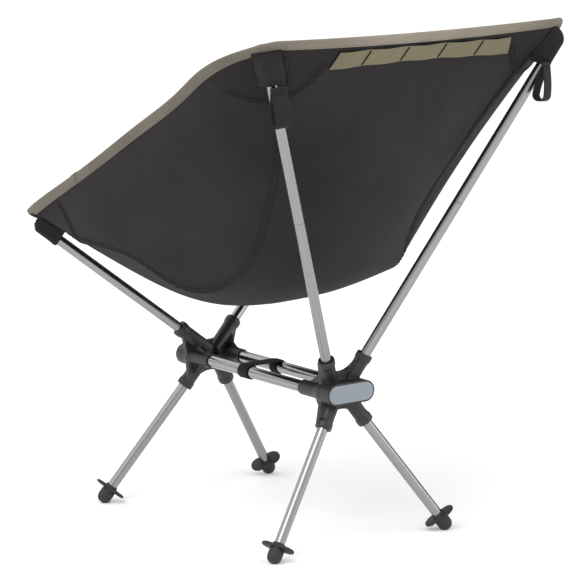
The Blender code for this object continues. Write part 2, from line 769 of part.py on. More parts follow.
# ---------------------------------------------------------------- assembly
def main():
    make_hub("hub_front", 1, SEAT_POLE, LEG_FRONT)
    make_hub("hub_rear", -1, BACK_POLE, LEG_REAR)
    make_badge("badge_front", 1)
    make_badge("badge_rear", -1)
    make_keeper_strap()
    for side_name, side in (("left", -1), ("right", 1)):
        make_crossbar(f"crossbar_{side_name}", side)
        for place_name, (mouth, target) in (("front", LEG_FRONT), ("rear", LEG_REAR)):
            if side < 0:
                mouth, target = mirrored(mouth), mirrored(target)
            make_leg(f"{place_name}_{side_name}", mouth, target)
        make_seat_pole(side_name, side)
        make_back_pole(side_name, side)
    make_sling()


main()
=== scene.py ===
"""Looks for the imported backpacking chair: visual pieces, materials, light and camera."""

import math

import bmesh
import bpy
import numpy as np
from mathutils import Matrix, Vector


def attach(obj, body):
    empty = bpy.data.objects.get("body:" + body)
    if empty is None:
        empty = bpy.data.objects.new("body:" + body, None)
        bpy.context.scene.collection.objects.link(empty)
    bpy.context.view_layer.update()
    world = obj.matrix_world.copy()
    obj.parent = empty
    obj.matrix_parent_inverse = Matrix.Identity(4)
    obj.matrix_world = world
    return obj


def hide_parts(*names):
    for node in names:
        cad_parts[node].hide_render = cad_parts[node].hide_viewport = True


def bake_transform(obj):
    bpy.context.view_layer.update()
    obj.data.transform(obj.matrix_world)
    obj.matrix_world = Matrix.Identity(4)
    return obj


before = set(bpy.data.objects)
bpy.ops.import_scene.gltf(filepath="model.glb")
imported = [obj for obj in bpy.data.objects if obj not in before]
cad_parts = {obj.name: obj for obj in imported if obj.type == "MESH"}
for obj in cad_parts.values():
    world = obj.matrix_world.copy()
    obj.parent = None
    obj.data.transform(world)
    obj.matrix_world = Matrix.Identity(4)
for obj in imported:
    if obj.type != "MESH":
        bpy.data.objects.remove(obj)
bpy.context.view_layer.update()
SIDES = (("left", -1), ("right", 1))
CORNERS = [(name, side, half) for name, side in SIDES for half in ("front", "rear")]

# ---------------------------------------------------------------- dimensions, in metres
LEAD = 0.05251                 # the hubs' midpoint stands this far ahead of the origin
TUBE_R, TUBE_WALL = 0.0065, 0.00075        # legs and poles
BAR_R, BAR_X = 0.0075, 0.0241              # crossbars: radius, and distance from the middle
HUB_Z = 0.188
SOCKET_DEPTH = 0.038           # how far a leg or pole goes into its hub
BAR_MOUTH = 0.0985             # the crossbars' sockets open this far from the hubs' midpoint
BAR_DEPTH = 0.030              # how far a crossbar goes into its hub
BLOCK_IN, BLOCK_OUT = 0.142, 0.1652
BLOCK_SIZE = (0.071, 0.027)
WEB_IN, WEB_OUT = 0.1372, 0.1438
BADGE_SIZE = (0.067, 0.023)
BADGE_GAP = 0.0008
LEG_FRONT = ((0.0337, 0.1502, 0.1486), (0.1301, 0.1932, 0.0082))
LEG_REAR = ((0.0331, -0.1502, 0.1455), (0.1305, -0.1830, 0.0082))
SEAT_POLE = ((0.0433, 0.1456, 0.2272), (0.1948, 0.1892, 0.3523))
BACK_POLE = ((0.0299, -0.1537, 0.2315), (0.2011, -0.2854, 0.5895))
TIP_REACH = 0.030              # a pole's tip stands this far past its pocket's mouth
TIP_CAP = 0.008
BACK_JOINT = 0.219             # between a back pole's two sections, from its hub
JOINT_GAP = 0.0003
FOOT_TWIST = {"front_left": 110, "front_right": 135, "rear_left": 157, "rear_right": 105}

# the sling's lines from the front hem to the top hem, on the chair's right side
EDGE = [(0.241, 0.199, 0.391), (0.237, 0.110, 0.436), (0.240, 0.022, 0.479), (0.243, -0.065, 0.524),
        (0.242, -0.150, 0.570), (0.253, -0.233, 0.612), (0.221, -0.298, 0.642)]
SEAM = [(0.202, 0.186, 0.374), (0.207, 0.100, 0.361), (0.188, 0.025, 0.350), (0.155, -0.035, 0.315),
        (0.123, -0.105, 0.335), (0.123, -0.175, 0.439), (0.197, -0.312, 0.642)]
MIDDLE = [(0, 0.169, 0.346), (0, 0.129, 0.288), (0, 0.064, 0.267), (0, -0.036, 0.284),
          (0, -0.137, 0.337), (0, -0.226, 0.466), (0, -0.311, 0.639)]
SEAM_U = 0.6                   # the seam's share of the way from the middle to the edge
SIDE_BULGE = np.array((0.008, 0.0, -0.004))
CORNER_CUT, CORNER_POWER = 0.030, 16
CLOTH = 0.0010
BINDING_WIDTH, HEM_WIDTH = 0.0115, 0.0095
HEAVY = (0.9, 0.00045)         # a heavy stitch's share of its pitch, and its radius
WEBBING_WIDTH, WEBBING_THICK = 0.0200, 0.0016
STRAP_Y = 0.020                # the keeper strap, ahead of the hubs' midpoint


def spot(point):
    """A point measured from the hubs' midpoint, in the shared frame."""
    return Vector((point[0], point[1] + LEAD, point[2]))


def axis_of(pole, side):
    """Start and end of a leg's or pole's axis on one side."""
    return tuple(spot((side * p[0], p[1], p[2])) for p in pole)


# ---------------------------------------------------------------- materials
def material(name, colour, roughness, metallic=0.0, specular=0.5):
    mat = bpy.data.materials.new(name)
    mat.use_nodes = True
    shader = mat.node_tree.nodes["Principled BSDF"]
    shader.inputs["Base Color"].default_value = (*colour, 1)
    shader.inputs["Roughness"].default_value = roughness
    shader.inputs["Metallic"].default_value = metallic
    shader.inputs["Specular IOR Level"].default_value = specular
    return mat, mat.node_tree, shader


def node(tree, kind, **values):
    made = tree.nodes.new(kind)
    for key, value in values.items():
        if key in made.inputs:
            made.inputs[key].default_value = value
        else:
            setattr(made, key, value)
    return made


def link(tree, source, output, target, socket):
    tree.links.new(source.outputs[output], target.inputs[socket])


def split_axes(tree, vector):
    """X, Y and Z of a mapping's output."""
    split = node(tree, "ShaderNodeSeparateXYZ")
    link(tree, vector, "Vector", split, "Vector")
    return split


def coordinates(tree, output, scale):
    """A mapping of UV, object or generated coordinates."""
    coords = node(tree, "ShaderNodeTexCoord")
    mapping = node(tree, "ShaderNodeMapping")
    mapping.inputs["Scale"].default_value = scale
    link(tree, coords, output, mapping, "Vector")
    return mapping


def noise(tree, vector, scale, detail=3.0, rough=0.55):
    made = node(tree, "ShaderNodeTexNoise", Scale=scale, Detail=detail, Roughness=rough)
    link(tree, vector, "Vector", made, "Vector")
    return made


def ramp(tree, source, output, stops):
    """Colours at rising positions; the elements are made in place."""
    made = node(tree, "ShaderNodeValToRGB")
    elements = made.color_ramp.elements
    elements[0].position, elements[1].position = stops[0][0], stops[-1][0]
    for position, _ in stops[1:-1]:
        elements.new(position)
    for element, (_, colour) in zip(elements, stops):
        element.color = (*colour, 1)
    link(tree, source, output, made, "Fac")
    return made


def maths(tree, operation, *terms):
    """A math node whose terms are numbers or (node, output) pairs."""
    made = node(tree, "ShaderNodeMath", operation=operation)
    for index, value in enumerate(terms):
        if isinstance(value, tuple):
            tree.links.new(value[0].outputs[value[1]], made.inputs[index])
        else:
            made.inputs[index].default_value = value
    return made


def bump(tree, shader, height, output, strength, distance):
    made = node(tree, "ShaderNodeBump", Strength=strength, Distance=distance)
    link(tree, height, output, made, "Height")
    link(tree, made, "Normal", shader, "Normal")


def vary_gloss(tree, shader, source, low, high):
    """Roughness that follows a noise between two values."""
    gloss = node(tree, "ShaderNodeMapRange")
    gloss.inputs["To Min"].default_value = low
    gloss.inputs["To Max"].default_value = high
    link(tree, source, "Fac", gloss, "Value")
    link(tree, gloss, "Result", shader, "Roughness")


def shades(colour, *factors):
    """The colour at several brightnesses."""
    return [tuple(min(c * f, 1) for c in colour) for f in factors]


def woven(name, colour, pitch, roughness=0.85, depth=0.00012, spread=0.22, sheen=0.25, along=None):
    """Cloth with warp and weft from the UV map, whose units are metres, and slow colour drift.

    along, if given, is two distances and the share of full brightness before the first of them; it
    paints shade onto the cloth, darkest before the first distance along the UV map's X and fading out
    by the second.
    """
    mat, tree, shader = material(name, colour, roughness, specular=0.15)
    shader.inputs["Sheen Weight"].default_value = sheen
    shader.inputs["Sheen Roughness"].default_value = 0.5
    threads = coordinates(tree, "UV", (1 / pitch, 1 / pitch, 1))
    split = split_axes(tree, threads)
    waves = [maths(tree, "SINE", (maths(tree, "MULTIPLY", (split, axis), math.pi), 0))
             for axis in ("X", "Y")]
    checker = maths(tree, "MULTIPLY", (waves[0], 0), (waves[1], 0))
    drift = noise(tree, coordinates(tree, "Object", (1, 1, 1)), 9, 4)
    fleck = noise(tree, threads, 0.35, 2)
    mixed = maths(tree, "MULTIPLY_ADD", (checker, 0), 0.10, (drift, "Fac"))
    spun = maths(tree, "MULTIPLY_ADD", (fleck, "Fac"), 0.45, (mixed, 0))
    dark, plain, light = shades(colour, 1 - spread, 1.0, 1 + spread)
    tint = ramp(tree, spun, 0, [(0.45, dark), (0.72, plain), (1.0, light)])
    link(tree, tint, "Color", shader, "Base Color")
    # Painted shade: with along, the colour is dimmed to the given share before the first distance along
    # the UV map's X, and brought back to full brightness by the second.
    if along:
        first, last, share = along
        plain_uv = split_axes(tree, coordinates(tree, "UV", (1, 1, 1)))
        fade = node(tree, "ShaderNodeMapRange")
        for socket, value in (("From Min", first), ("From Max", last), ("To Min", share)):
            fade.inputs[socket].default_value = value
        link(tree, plain_uv, "X", fade, "Value")
        painted_shade_tint = node(tree, "ShaderNodeVectorMath", operation="SCALE")
        link(tree, tint, "Color", painted_shade_tint, "Vector")
        link(tree, fade, "Result", painted_shade_tint, "Scale")
        link(tree, painted_shade_tint, "Vector", shader, "Base Color")
    bump(tree, shader, checker, 0, 0.6, depth)
    return mat


def anodised(name, colour, roughness):
    """Metal with fine lengthwise draw lines and a slight waver in gloss."""
    mat, tree, shader = material(name, colour, roughness, 1.0)
    along = coordinates(tree, "Object", (900, 900, 9))
    lines = noise(tree, along, 1.0, 3)
    dark, light = shades(colour, 0.90, 1.08)
    tint = ramp(tree, lines, "Fac", [(0.3, dark), (0.7, light)])
    link(tree, tint, "Color", shader, "Base Color")
    wear = noise(tree, coordinates(tree, "Object", (60, 60, 12)), 1.0, 4)
    vary_gloss(tree, shader, wear, roughness - 0.06, roughness + 0.08)
    bump(tree, shader, lines, "Fac", 0.12, 0.00005)
    return mat


def moulded(name, colour, roughness, grain=1600, depth=0.00006, spread=0.3):
    """Plastic or rubber with fine spark-eroded grain and worn, paler spots."""
    mat, tree, shader = material(name, colour, roughness, specular=0.45)
    place = coordinates(tree, "Object", (1, 1, 1))
    fine = noise(tree, place, grain, 2)
    broad = noise(tree, place, 70, 4)
    dark, plain, light = shades(colour, 1 - spread * 0.7, 1.0, 1 + spread)
    tint = ramp(tree, broad, "Fac", [(0.3, dark), (0.55, plain), (0.8, light)])
    link(tree, tint, "Color", shader, "Base Color")
    vary_gloss(tree, shader, broad, roughness - 0.08, roughness + 0.10)
    bump(tree, shader, fine, "Fac", 0.5, depth)
    return mat


CLOTH_MAT = woven("sling_cloth", (0.0212, 0.0186, 0.0192), 0.0009, depth=0.0002, spread=0.30,
                  sheen=0.02)
PATCH_MAT = woven("patch_cloth", (0.0165, 0.0146, 0.0150), 0.0006, sheen=0.02)
# The binding tape carries painted shade: it is painted at 0.52 of its colour's brightness for its first
# 0.22 m from the middle of each side, rising to full brightness by 0.42 m, so the flanks are darker
# than the top.
BINDING_MAT = woven("binding_tape_painted_shade", (0.250, 0.220, 0.178), 0.0008, spread=0.22, sheen=0.05,
                    along=(0.22, 0.42, 0.52))
KHAKI_MAT = woven("khaki_webbing", (0.165, 0.147, 0.094), 0.0012, depth=0.0002, spread=0.14, sheen=0.04)
BLACK_WEB_MAT = woven("black_webbing", (0.0180, 0.0172, 0.0178), 0.0011, depth=0.0002, sheen=0.03)
THREAD_MAT = woven("dark_thread", (0.013, 0.012, 0.012), 0.0004, sheen=0.02)
TAN_THREAD_MAT = woven("tan_thread", (0.190, 0.168, 0.136), 0.0004, sheen=0.05)
POLE_MAT = anodised("anodised_grey", (0.310, 0.304, 0.306), 0.24)
BAR_MAT = anodised("bright_aluminium", (0.335, 0.325, 0.320), 0.16)
HUB_MAT = moulded("hub_plastic", (0.0185, 0.0178, 0.0185), 0.40)
TIP_MAT = moulded("tip_plastic", (0.018, 0.017, 0.018), 0.45)
FOOT_MAT = moulded("foot_rubber", (0.0200, 0.0185, 0.0195), 0.60, 900, 0.0001)
BADGE_MAT = moulded("badge_satin", (0.215, 0.243, 0.278), 0.38, 2500, 0.00002, 0.04)


# ---------------------------------------------------------------- mesh helpers
def build(name, verts, faces, mat, uv=None, normals=None):
    """A smooth mesh object. uv and normals are given per vertex."""
    mesh = bpy.data.meshes.new(name)
    mesh.from_pydata([tuple(v) for v in verts], [], [tuple(f) for f in faces])
    mesh.materials.append(mat)
    if uv is not None:
        corners = np.empty(len(mesh.loops), np.int32)
        mesh.loops.foreach_get("vertex_index", corners)
        layer = mesh.uv_layers.new(name="metres")
        layer.data.foreach_set("uv", np.asarray(uv, float)[corners].ravel())
    mesh.shade_smooth()
    if normals is not None:
        mesh.normals_split_custom_set_from_vertices([tuple(n) for n in normals])
    return add_object(name, mesh)


def add_object(name, mesh):
    """Put a mesh into the scene as an object."""
    obj = bpy.data.objects.new(name, mesh)
    bpy.context.scene.collection.objects.link(obj)
    return obj


def from_work(name, work, mat=None):
    """A mesh object from a bmesh, which is used up."""
    mesh = bpy.data.meshes.new(name)
    work.to_mesh(mesh)
    work.free()
    if mat:
        mesh.materials.append(mat)
    return add_object(name, mesh)


def unit(vectors):
    return vectors / np.linalg.norm(vectors, axis=-1, keepdims=True)


def distances(points):
    """Distance along a line of points to each of them."""
    return np.concatenate(([0], np.cumsum(np.linalg.norm(np.diff(points, axis=0), axis=1))))


def face_out(obj):
    work = bmesh.new()
    work.from_mesh(obj.data)
    bmesh.ops.recalc_face_normals(work, faces=work.faces)
    work.to_mesh(obj.data)
    work.free()
    return obj


def sharpen(obj, angle=40):
    obj.data.set_sharp_from_angle(angle=math.radians(angle))
    return obj


def settle(obj, body, slot, *nodes):
    """Ride a finished piece on its body and hide the CAD nodes it replaces."""
    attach(obj, body)
    if nodes:
        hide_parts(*nodes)
    return obj


def lathe(name, profile, start, end, mat, sides=48, closed=False):
    """Turn a (radius, distance) profile about the line from start to end."""
    angles = np.linspace(0, 2 * math.pi, sides, endpoint=False)
    verts, rows = [], []
    for radius, height in profile:
        if radius < 1e-7:
            rows.append([len(verts)])
            verts.append((0, 0, height))
        else:
            rows.append(list(range(len(verts), len(verts) + sides)))
            verts += [(radius * math.cos(a), radius * math.sin(a), height) for a in angles]
    faces = []
    pairs = list(zip(rows, rows[1:])) + ([(rows[-1], rows[0])] if closed else [])
    for one, two in pairs:
        for i in range(sides):
            j = (i + 1) % sides
            ring = [one[i % len(one)], one[j % len(one)], two[j % len(two)], two[i % len(two)]]
            faces.append(list(dict.fromkeys(ring)))
    return stand(sharpen(face_out(build(name, verts, faces, mat))), start, end)


def stand(obj, start, end):
    """Set a piece made about Z on the line from start to end."""
    obj.location = start
    obj.rotation_mode = "QUATERNION"
    obj.rotation_quaternion = (end - start).to_track_quat("Z", "Y")
    return obj


def tube(name, low, high, radius, wall, start, end, mat):
    """A tube with slightly eased rims."""
    ease = 0.0003
    profile = [(radius - ease, high), (radius, high - ease), (radius, (low + high) / 2),
               (radius, low + ease), (radius - ease, low), (radius - wall, low), (radius - wall, high)]
    return lathe(name, profile, start, end, mat, closed=True)


def grid_faces(rows, columns, wrap=False):
    """Quads of a row-major grid of vertices; wrap joins the last column to the first."""
    faces = []
    for row in range(0, (rows - 1) * columns, columns):
        for c in range(columns if wrap else columns - 1):
            d = (c + 1) % columns
            faces.append((row + c, row + d, row + columns + d, row + columns + c))
    return faces


def swept(name, rings, mat, capped=True, uv=None):
    """A closed tube through rings of points with equal counts."""
    count = len(rings[0])
    verts = [p for ring in rings for p in ring]
    faces = grid_faces(len(rings), count, wrap=True)
    if capped:
        faces.append(tuple(range(count - 1, -1, -1)))
        faces.append(tuple(range((len(rings) - 1) * count, len(rings) * count)))
    return face_out(build(name, verts, faces, mat, uv))


def webbing(name, points, section, to_world):
    """Flat webbing swept along a plane line of points; to_world turns (x, z, across) into a place."""
    points = np.array(points)
    around = distances(np.array(section))
    rings, uv = [], []
    for (x, z), (tx, tz), far in zip(points, unit(np.gradient(points, axis=0)), distances(points)):
        rings.append([to_world(x + tz * a, z - tx * a, b) for a, b in section])
        uv += [(far, way) for way in around]
    return sharpen(swept(name, rings, BLACK_WEB_MAT, uv=uv), 50)


def rounded_rectangle(half_width, half_height, radius, steps=4):
    points = []
    for cx, cy, start in ((1, 1, 0), (-1, 1, 90), (-1, -1, 180), (1, -1, 270)):
        for i in range(steps + 1):
            a = math.radians(start + 90 * i / steps)
            points.append((cx * (half_width - radius) + radius * math.cos(a),
                           cy * (half_height - radius) + radius * math.sin(a)))
    return points


# ---------------------------------------------------------------- the sling's surface
def spline_through(rows):
    """Natural cubic spline through equally spaced rows, for an array of parameters 0 to 1."""
    rows = np.array(rows, float)
    last = len(rows) - 1
    system = np.eye(last + 1)
    right = np.zeros_like(rows)
    for i in range(1, last):
        system[i, i - 1:i + 2] = 1, 4, 1
        right[i] = 6 * (rows[i - 1] - 2 * rows[i] + rows[i + 1])
    bend = np.linalg.solve(system, right)

    def at(v):
        i = np.clip((v * last).astype(int), 0, last - 1)
        b = (v * last - i)[..., None]
        a = 1 - b
        return a * rows[i] + b * rows[i + 1] + ((a**3 - a) * bend[i] + (b**3 - b) * bend[i + 1]) / 6

    return at


edge_at, seam_at, middle_at = (spline_through(rows) for rows in (EDGE, SEAM, MIDDLE))


def bare_sling(s, t):
    """The stretched cloth's middle surface, before its small folds."""
    s, t = np.broadcast_arrays(np.asarray(s, float), np.asarray(t, float))
    along = 2 * t - 1
    u = np.abs(s) * (1 - CORNER_CUT * np.abs(along) ** CORNER_POWER)
    v = 0.5 + along * (1 - CORNER_CUT * np.abs(s) ** CORNER_POWER) / 2
    edge, seam, middle = edge_at(v), seam_at(v), middle_at(v)
    a = np.clip(u / SEAM_U, 0, 1)
    inner = middle + (seam - middle) * np.stack((a, a * a, a * a), -1)
    b = np.clip((u - SEAM_U) / (1 - SEAM_U), 0, 1)[..., None]
    swell = 4 * b * (1 - b) * np.sin(math.pi * v)[..., None]
    outer = seam + (edge - seam) * b + SIDE_BULGE * swell
    point = np.where((u < SEAM_U)[..., None], inner, outer)
    point[..., 0] *= np.where(s < 0, -1, 1)
    point[..., 1] += LEAD
    return point


def bare_normal(s, t):
    """Unit normal away from the sitter."""
    step = 0.003
    s, t = np.broadcast_arrays(np.asarray(s, float), np.asarray(t, float))
    across = bare_sling(np.minimum(s + step, 1), t) - bare_sling(np.maximum(s - step, -1), t)
    along = bare_sling(s, np.minimum(t + step, 1)) - bare_sling(s, np.maximum(t - step, 0))
    normal = np.cross(across, along)
    return normal / np.linalg.norm(normal, axis=-1, keepdims=True)


def folds(s, t):
    """Height of the cloth's small folds: pulls from the corners, puckers at the seams, slow waves."""
    a = np.abs(s)
    wave = 0.0007 * np.sin(9 * a + 5 * t) * np.sin(7 * t - 3 * a + 1.0)
    pucker = 0.00045 * np.exp(-((a - SEAM_U) / 0.035) ** 2) * np.sin(2 * math.pi * t * 42)
    height = wave + pucker
    for corner_t, reach, size in ((1.0, 0.17, 0.0011), (0.0, 0.15, 0.0010)):
        away = np.hypot((1 - a) * 0.55, t - corner_t)
        angle = np.arctan2(np.abs(t - corner_t), (1 - a) * 0.55 + 1e-6)
        fade = np.clip((away - 0.17) / 0.12, 0, 1)
        height = height + size * np.sin(angle * 13 + 0.8) * fade * np.exp(-((away - 0.25) / reach) ** 2)
    edge = np.clip((1 - a) / 0.05, 0, 1) * np.clip(t / 0.04, 0, 1) * np.clip((1 - t) / 0.04, 0, 1)
    centre = np.clip(a / 0.06, 0, 1)
    return height * edge * centre


def sling(s, t, height=0.0):
    """A point on the sling, height metres outside its middle surface."""
    s, t = np.broadcast_arrays(np.asarray(s, float), np.asarray(t, float))
    lift = folds(s, t) + height
    return bare_sling(s, t) + bare_normal(s, t) * lift[..., None]


def nearest(points, side, half):
    """(s, t) of the sling's nearest points in one corner's region, for an array of points."""
    end = 1.0 if half == "rear" else 0.0
    shape = points.shape[:-1]
    points = points.reshape(-1, 3)
    s_grid, t_grid = np.meshgrid(side * np.linspace(0.3, 1, 70), np.abs(end - np.linspace(0, 0.35, 70)))
    cloud = bare_sling(s_grid, t_grid).reshape(-1, 3)
    first = np.argmin(((points[:, None] - cloud[None]) ** 2).sum(-1), axis=1)
    s, t = s_grid.ravel()[first], t_grid.ravel()[first]
    step = 1e-4
    for _ in range(6):
        base = bare_sling(s, t)
        along_s = (base - bare_sling(s - side * step, t)) / (side * step)
        inside = step if end < 0.5 else -step
        along_t = (bare_sling(s, t + inside) - base) / inside
        gap = points - base
        a, b, c = (along_s ** 2).sum(-1), (along_s * along_t).sum(-1), (along_t ** 2).sum(-1)
        p, q = (gap * along_s).sum(-1), (gap * along_t).sum(-1)
        scale = a * c - b * b
        s = side * np.clip(side * (s + (c * p - b * q) / scale), 0.05, 1)
        t = np.clip(t + (a * q - b * p) / scale, 0, 1)
    return s.reshape(shape), t.reshape(shape)


def grid_normals(points, outwards):
    """Vertex normals of a grid of points, turned to agree with a rough direction."""
    normal = np.cross(np.gradient(points, axis=1), np.gradient(points, axis=0))
    normal /= np.maximum(np.linalg.norm(normal, axis=-1, keepdims=True), 1e-12)
    turn = np.sign((normal * outwards).sum(-1, keepdims=True))
    return normal * np.where(turn == 0, 1, turn)


def metres(points):
    """UV in metres for a grid of points, from the lengths along its middle lines."""
    rows, columns = points.shape[:2]
    uv = np.zeros((rows, columns, 2))
    uv[:, 1:, 0] = np.cumsum(np.linalg.norm(np.diff(points, axis=1), axis=-1), axis=1)
    uv[1:, :, 1] = np.cumsum(np.linalg.norm(np.diff(points, axis=0), axis=-1), axis=0)
    return uv


def rim_of(rows, columns):
    """Indices of a grid's border vertices, in order round it."""
    grid = np.arange(rows * columns).reshape(rows, columns)
    return [*grid[:, 0], *grid[-1, 1:], *grid[-2::-1, -1], *grid[0, -2:0:-1]]


def cloth_piece(name, outer, inner, mat, normal_out):
    """A closed thin sheet from two grids of points, with shading normals from the whole surface."""
    rows, columns = outer.shape[:2]
    count = rows * columns
    verts = np.concatenate((outer.reshape(-1, 3), inner.reshape(-1, 3)))
    uv_grid = metres((outer + inner) / 2).reshape(-1, 2)
    front = grid_faces(rows, columns)
    r, c = rows // 2, columns // 2
    turn = np.cross(outer[r, c + 1] - outer[r, c], outer[r + 1, c] - outer[r, c]) @ normal_out[r, c]
    faces = front + [tuple(count + i for i in reversed(f)) for f in front]
    rim = rim_of(rows, columns)
    for first, second in zip(rim, rim[1:] + rim[:1]):
        faces.append((first, second, count + second, count + first))
    if turn < 0:
        faces = [tuple(reversed(face)) for face in faces]
    normals = np.concatenate((normal_out.reshape(-1, 3), -normal_out.reshape(-1, 3)))
    return build(name, verts, faces, mat, np.concatenate((uv_grid, uv_grid)), normals)


BODY_OF = {"front": "seat_pole_", "rear": "back_pole_"}


def quadrant_grid(side, half, columns, rows):
    """(s, t) grids of one quarter, with closer columns and rows towards its free edges."""
    inner = np.linspace(0, SEAM_U, columns * 3 // 5, endpoint=False)
    outer = 1 - (1 - np.linspace(0, 1, columns * 2 // 5)) ** 1.5
    s = side * np.concatenate((inner, SEAM_U + (1 - SEAM_U) * outer))
    ease = 1 - (1 - np.linspace(0, 1, rows)) ** 1.6
    t = 0.5 + 0.5 * ease if half == "rear" else 0.5 - 0.5 * ease
    return np.meshgrid(s, t)


def find_blends():
    """For each quarter, sample the sling along its borders and find a normal turned towards its corner;
    nothing is kept.
    """
    for side_name, side, half in CORNERS:
        t_end = 1.0 if half == "rear" else 0.0
        ts = np.linspace(0.5, t_end, 60)
        ss = side * np.linspace(0, 1, 60)
        border = np.concatenate((sling(np.zeros(60), ts), sling(ss, np.full(60, 0.5))))
        corner = sling(side * 1.0, t_end)
        top, flank, seat = (sling(0.0, t_end), sling(side * 1.0, 0.5), sling(0.0, 0.5))
        normal = np.cross(flank - top, seat - top)
        normal /= np.linalg.norm(normal)
        if (corner - top) @ normal < 0:
            normal = -normal


find_blends()


def follow(obj, side, half, slot, *nodes):
    """Bake a sewn piece's placement into its mesh and hide the CAD nodes it replaces."""
    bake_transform(obj)
    if nodes:
        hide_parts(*nodes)
    return obj


def make_cloth():
    """The sling's four quarters: half of the middle panel with its side panel sewn on."""
    for side_name, side, half in CORNERS:
        s, t = quadrant_grid(side, half, 100, 70)
        middle = sling(s, t)
        out = bare_normal(s, t)
        normal = grid_normals(middle, out)
        for border in (normal[:, :1], normal[:1]):
            border[...] = bare_normal(s, t)[:border.shape[0], :border.shape[1]]
        piece = cloth_piece(f"sling_{half}_{side_name}", middle + normal * CLOTH / 2,
                            middle - normal * CLOTH / 2, CLOTH_MAT, normal)
        nodes = [f"side_panel_{side_name}"] if half == "rear" else []
        if half == "rear" and side > 0:
            nodes.append("middle_panel")
        follow(piece, side, half, "sling_cloth", *nodes)


# ---------------------------------------------------------------- trims sewn to the sling
def strip(name, centre_s, centre_t, half_width, lift, thick, mat, side, half, slot, levels):
    """A ribbon sewn on the outside of the sling; levels shape its section from side to side."""
    centre = sling(centre_s, centre_t)
    out = bare_normal(centre_s, centre_t)
    sideways = unit(np.cross(out, unit(np.gradient(centre, axis=0))))
    offsets = np.linspace(-half_width, half_width, len(levels))
    top = np.stack([centre + sideways * o + out * (lift + thick * k)
                    for o, k in zip(offsets, levels)], 1)
    base = np.stack([centre + sideways * o + out * (lift * 0.6) for o in offsets], 1)
    normal = grid_normals(top, np.repeat(out[:, None], len(levels), 1))
    return follow(cloth_piece(name, top, base, mat, normal), side, half, slot)


def stitch_row(name, points, normals, pitch, mat, length=0.72, radius=0.00022):
    """A row of single stitches, each a short rounded bar lying on the cloth."""
    lengths = distances(points)
    count = max(int(lengths[-1] / pitch), 1)
    verts, faces = [], []
    for k in range(count):
        where = np.array([k + 0.5 - length / 2, k + 0.5, k + 0.5 + length / 2]) * lengths[-1] / count
        line = np.stack([np.interp(where, lengths, points[:, i]) for i in range(3)], -1)
        up = unit(np.array([np.interp(where[1], lengths, normals[:, i]) for i in range(3)]))
        beside = np.cross(unit(line[2] - line[0]), up)
        base = len(verts)
        full = (line[0] * 0.6 + line[1] * 0.4, line[1] * 0.4 + line[2] * 0.6)
        for centre, size, rise in ((line[0], 0.35, -0.6), (full[0], 1, 0.35), (full[1], 1, 0.35),
                                   (line[2], 0.35, -0.6)):
            for a in map(math.radians, range(0, 360, 60)):
                verts.append(centre + up * radius * rise +
                             radius * size * (math.cos(a) * beside * 1.2 + math.sin(a) * up))
        faces += [tuple(base + i for i in face) for face in grid_faces(4, 6, wrap=True)]
        faces.append(tuple(base + i for i in range(5, -1, -1)))
        faces.append(tuple(base + 18 + i for i in range(6)))
    return face_out(build(name, verts, faces, mat))


def joined(name, pieces):
    """One object from several with the same material."""
    work = bmesh.new()
    for piece in pieces:
        work.from_mesh(piece.data)
    obj = from_work(name, work, pieces[0].data.materials[0])
    obj.data.shade_smooth()
    for piece in pieces:
        bpy.data.objects.remove(piece, do_unlink=True)
    return obj


def outline(side, half, steps=150):
    """(s, t) along a quarter's free edge, from the middle of the side round to the middle hem."""
    end = 1.0 if half == "rear" else 0.0
    dense = 1 - (1 - np.linspace(0, 1, steps)) ** 2.4
    flank_t = 0.5 + (end - 0.5) * dense
    s = np.concatenate((np.full(steps, 1.0), dense[::-1][1:]))
    t = np.concatenate((flank_t, np.full(steps - 1, end)))
    return side * s, t


def make_bindings():
    """Tape folded over the sling's edge; past the front corners it gives way to a plain black hem."""
    # The tape's UV X is measured from the middle of each side, so the binding material's painted shade
    # darkens the tape along the flanks and leaves it at full brightness from 0.42 m on.
    for side_name, side, half in CORNERS:
        s, t = outline(side, half)
        rim = bare_sling(s, t)
        lengths = distances(rim)
        edge = (rim, s, t, lengths)
        if half == "rear":
            nodes = [f"side_binding_{side_name}"] + (["top_binding"] if side > 0 else [])
            sew_binding("binding_rear_" + side_name, side, half, edge, (0, lengths[-1]), nodes)
        else:
            turn = lengths[len(s) // 2] + 0.004
            sew_binding("binding_front_" + side_name, side, half, edge, (0, turn), [])
            sew_binding("front_hem_cloth_" + side_name, side, half, edge, (turn, lengths[-1]),
                        ["front_hem"] if side > 0 else [], HEM_WIDTH, PATCH_MAT, THREAD_MAT)


def sew_binding(name, side, half, edge, span, nodes, depth=BINDING_WIDTH, mat=BINDING_MAT,
                thread_mat=TAN_THREAD_MAT):
    """One length of folded tape with a row of stitches on each face."""
    whole, s, t, lengths = edge
    even = np.linspace(*span, 190)
    rim = np.stack([np.interp(even, lengths, whole[:, i]) for i in range(3)], -1)
    out = bare_normal(np.interp(even, lengths, s), np.interp(even, lengths, t))
    for _ in range(3):
        out[1:-1] = (out[:-2] + 2 * out[1:-1] + out[2:]) / 4
    out = unit(out)
    inward = np.cross(out, unit(np.gradient(rim, axis=0)))
    inward *= np.sign(((sling(0.0, 0.5) - rim) * inward).sum(-1, keepdims=True))
    face = [(depth, 0.0004), (depth, 0.0012), (depth - 0.0012, 0.0016), (0.0050, 0.0017),
            (0.0016, 0.0021), (0.0, 0.0018), (-0.0010, 0.0009)]
    ring = face + [(-0.0013, 0.0)] + [(a, -h) for a, h in reversed(face)] + [(0.0050, 0.0)]
    rings = [[r + i * a + o * h for a, h in ring] for r, i, o in zip(rim, inward, out)]
    around = distances(np.array(ring))
    tape = swept(name, rings, mat, uv=[(e, a) for e in even for a in around])
    sharpen(tape, 60)
    follow(tape, side, half, "binding", *nodes)
    rows = [stitch_row("row", rim + inward * (depth - 0.0024) + out * h * 0.0017, out * h, 0.0036,
                       thread_mat) for h in (1, -1)]
    follow(joined(name + "_stitches", rows), side, half, "binding")


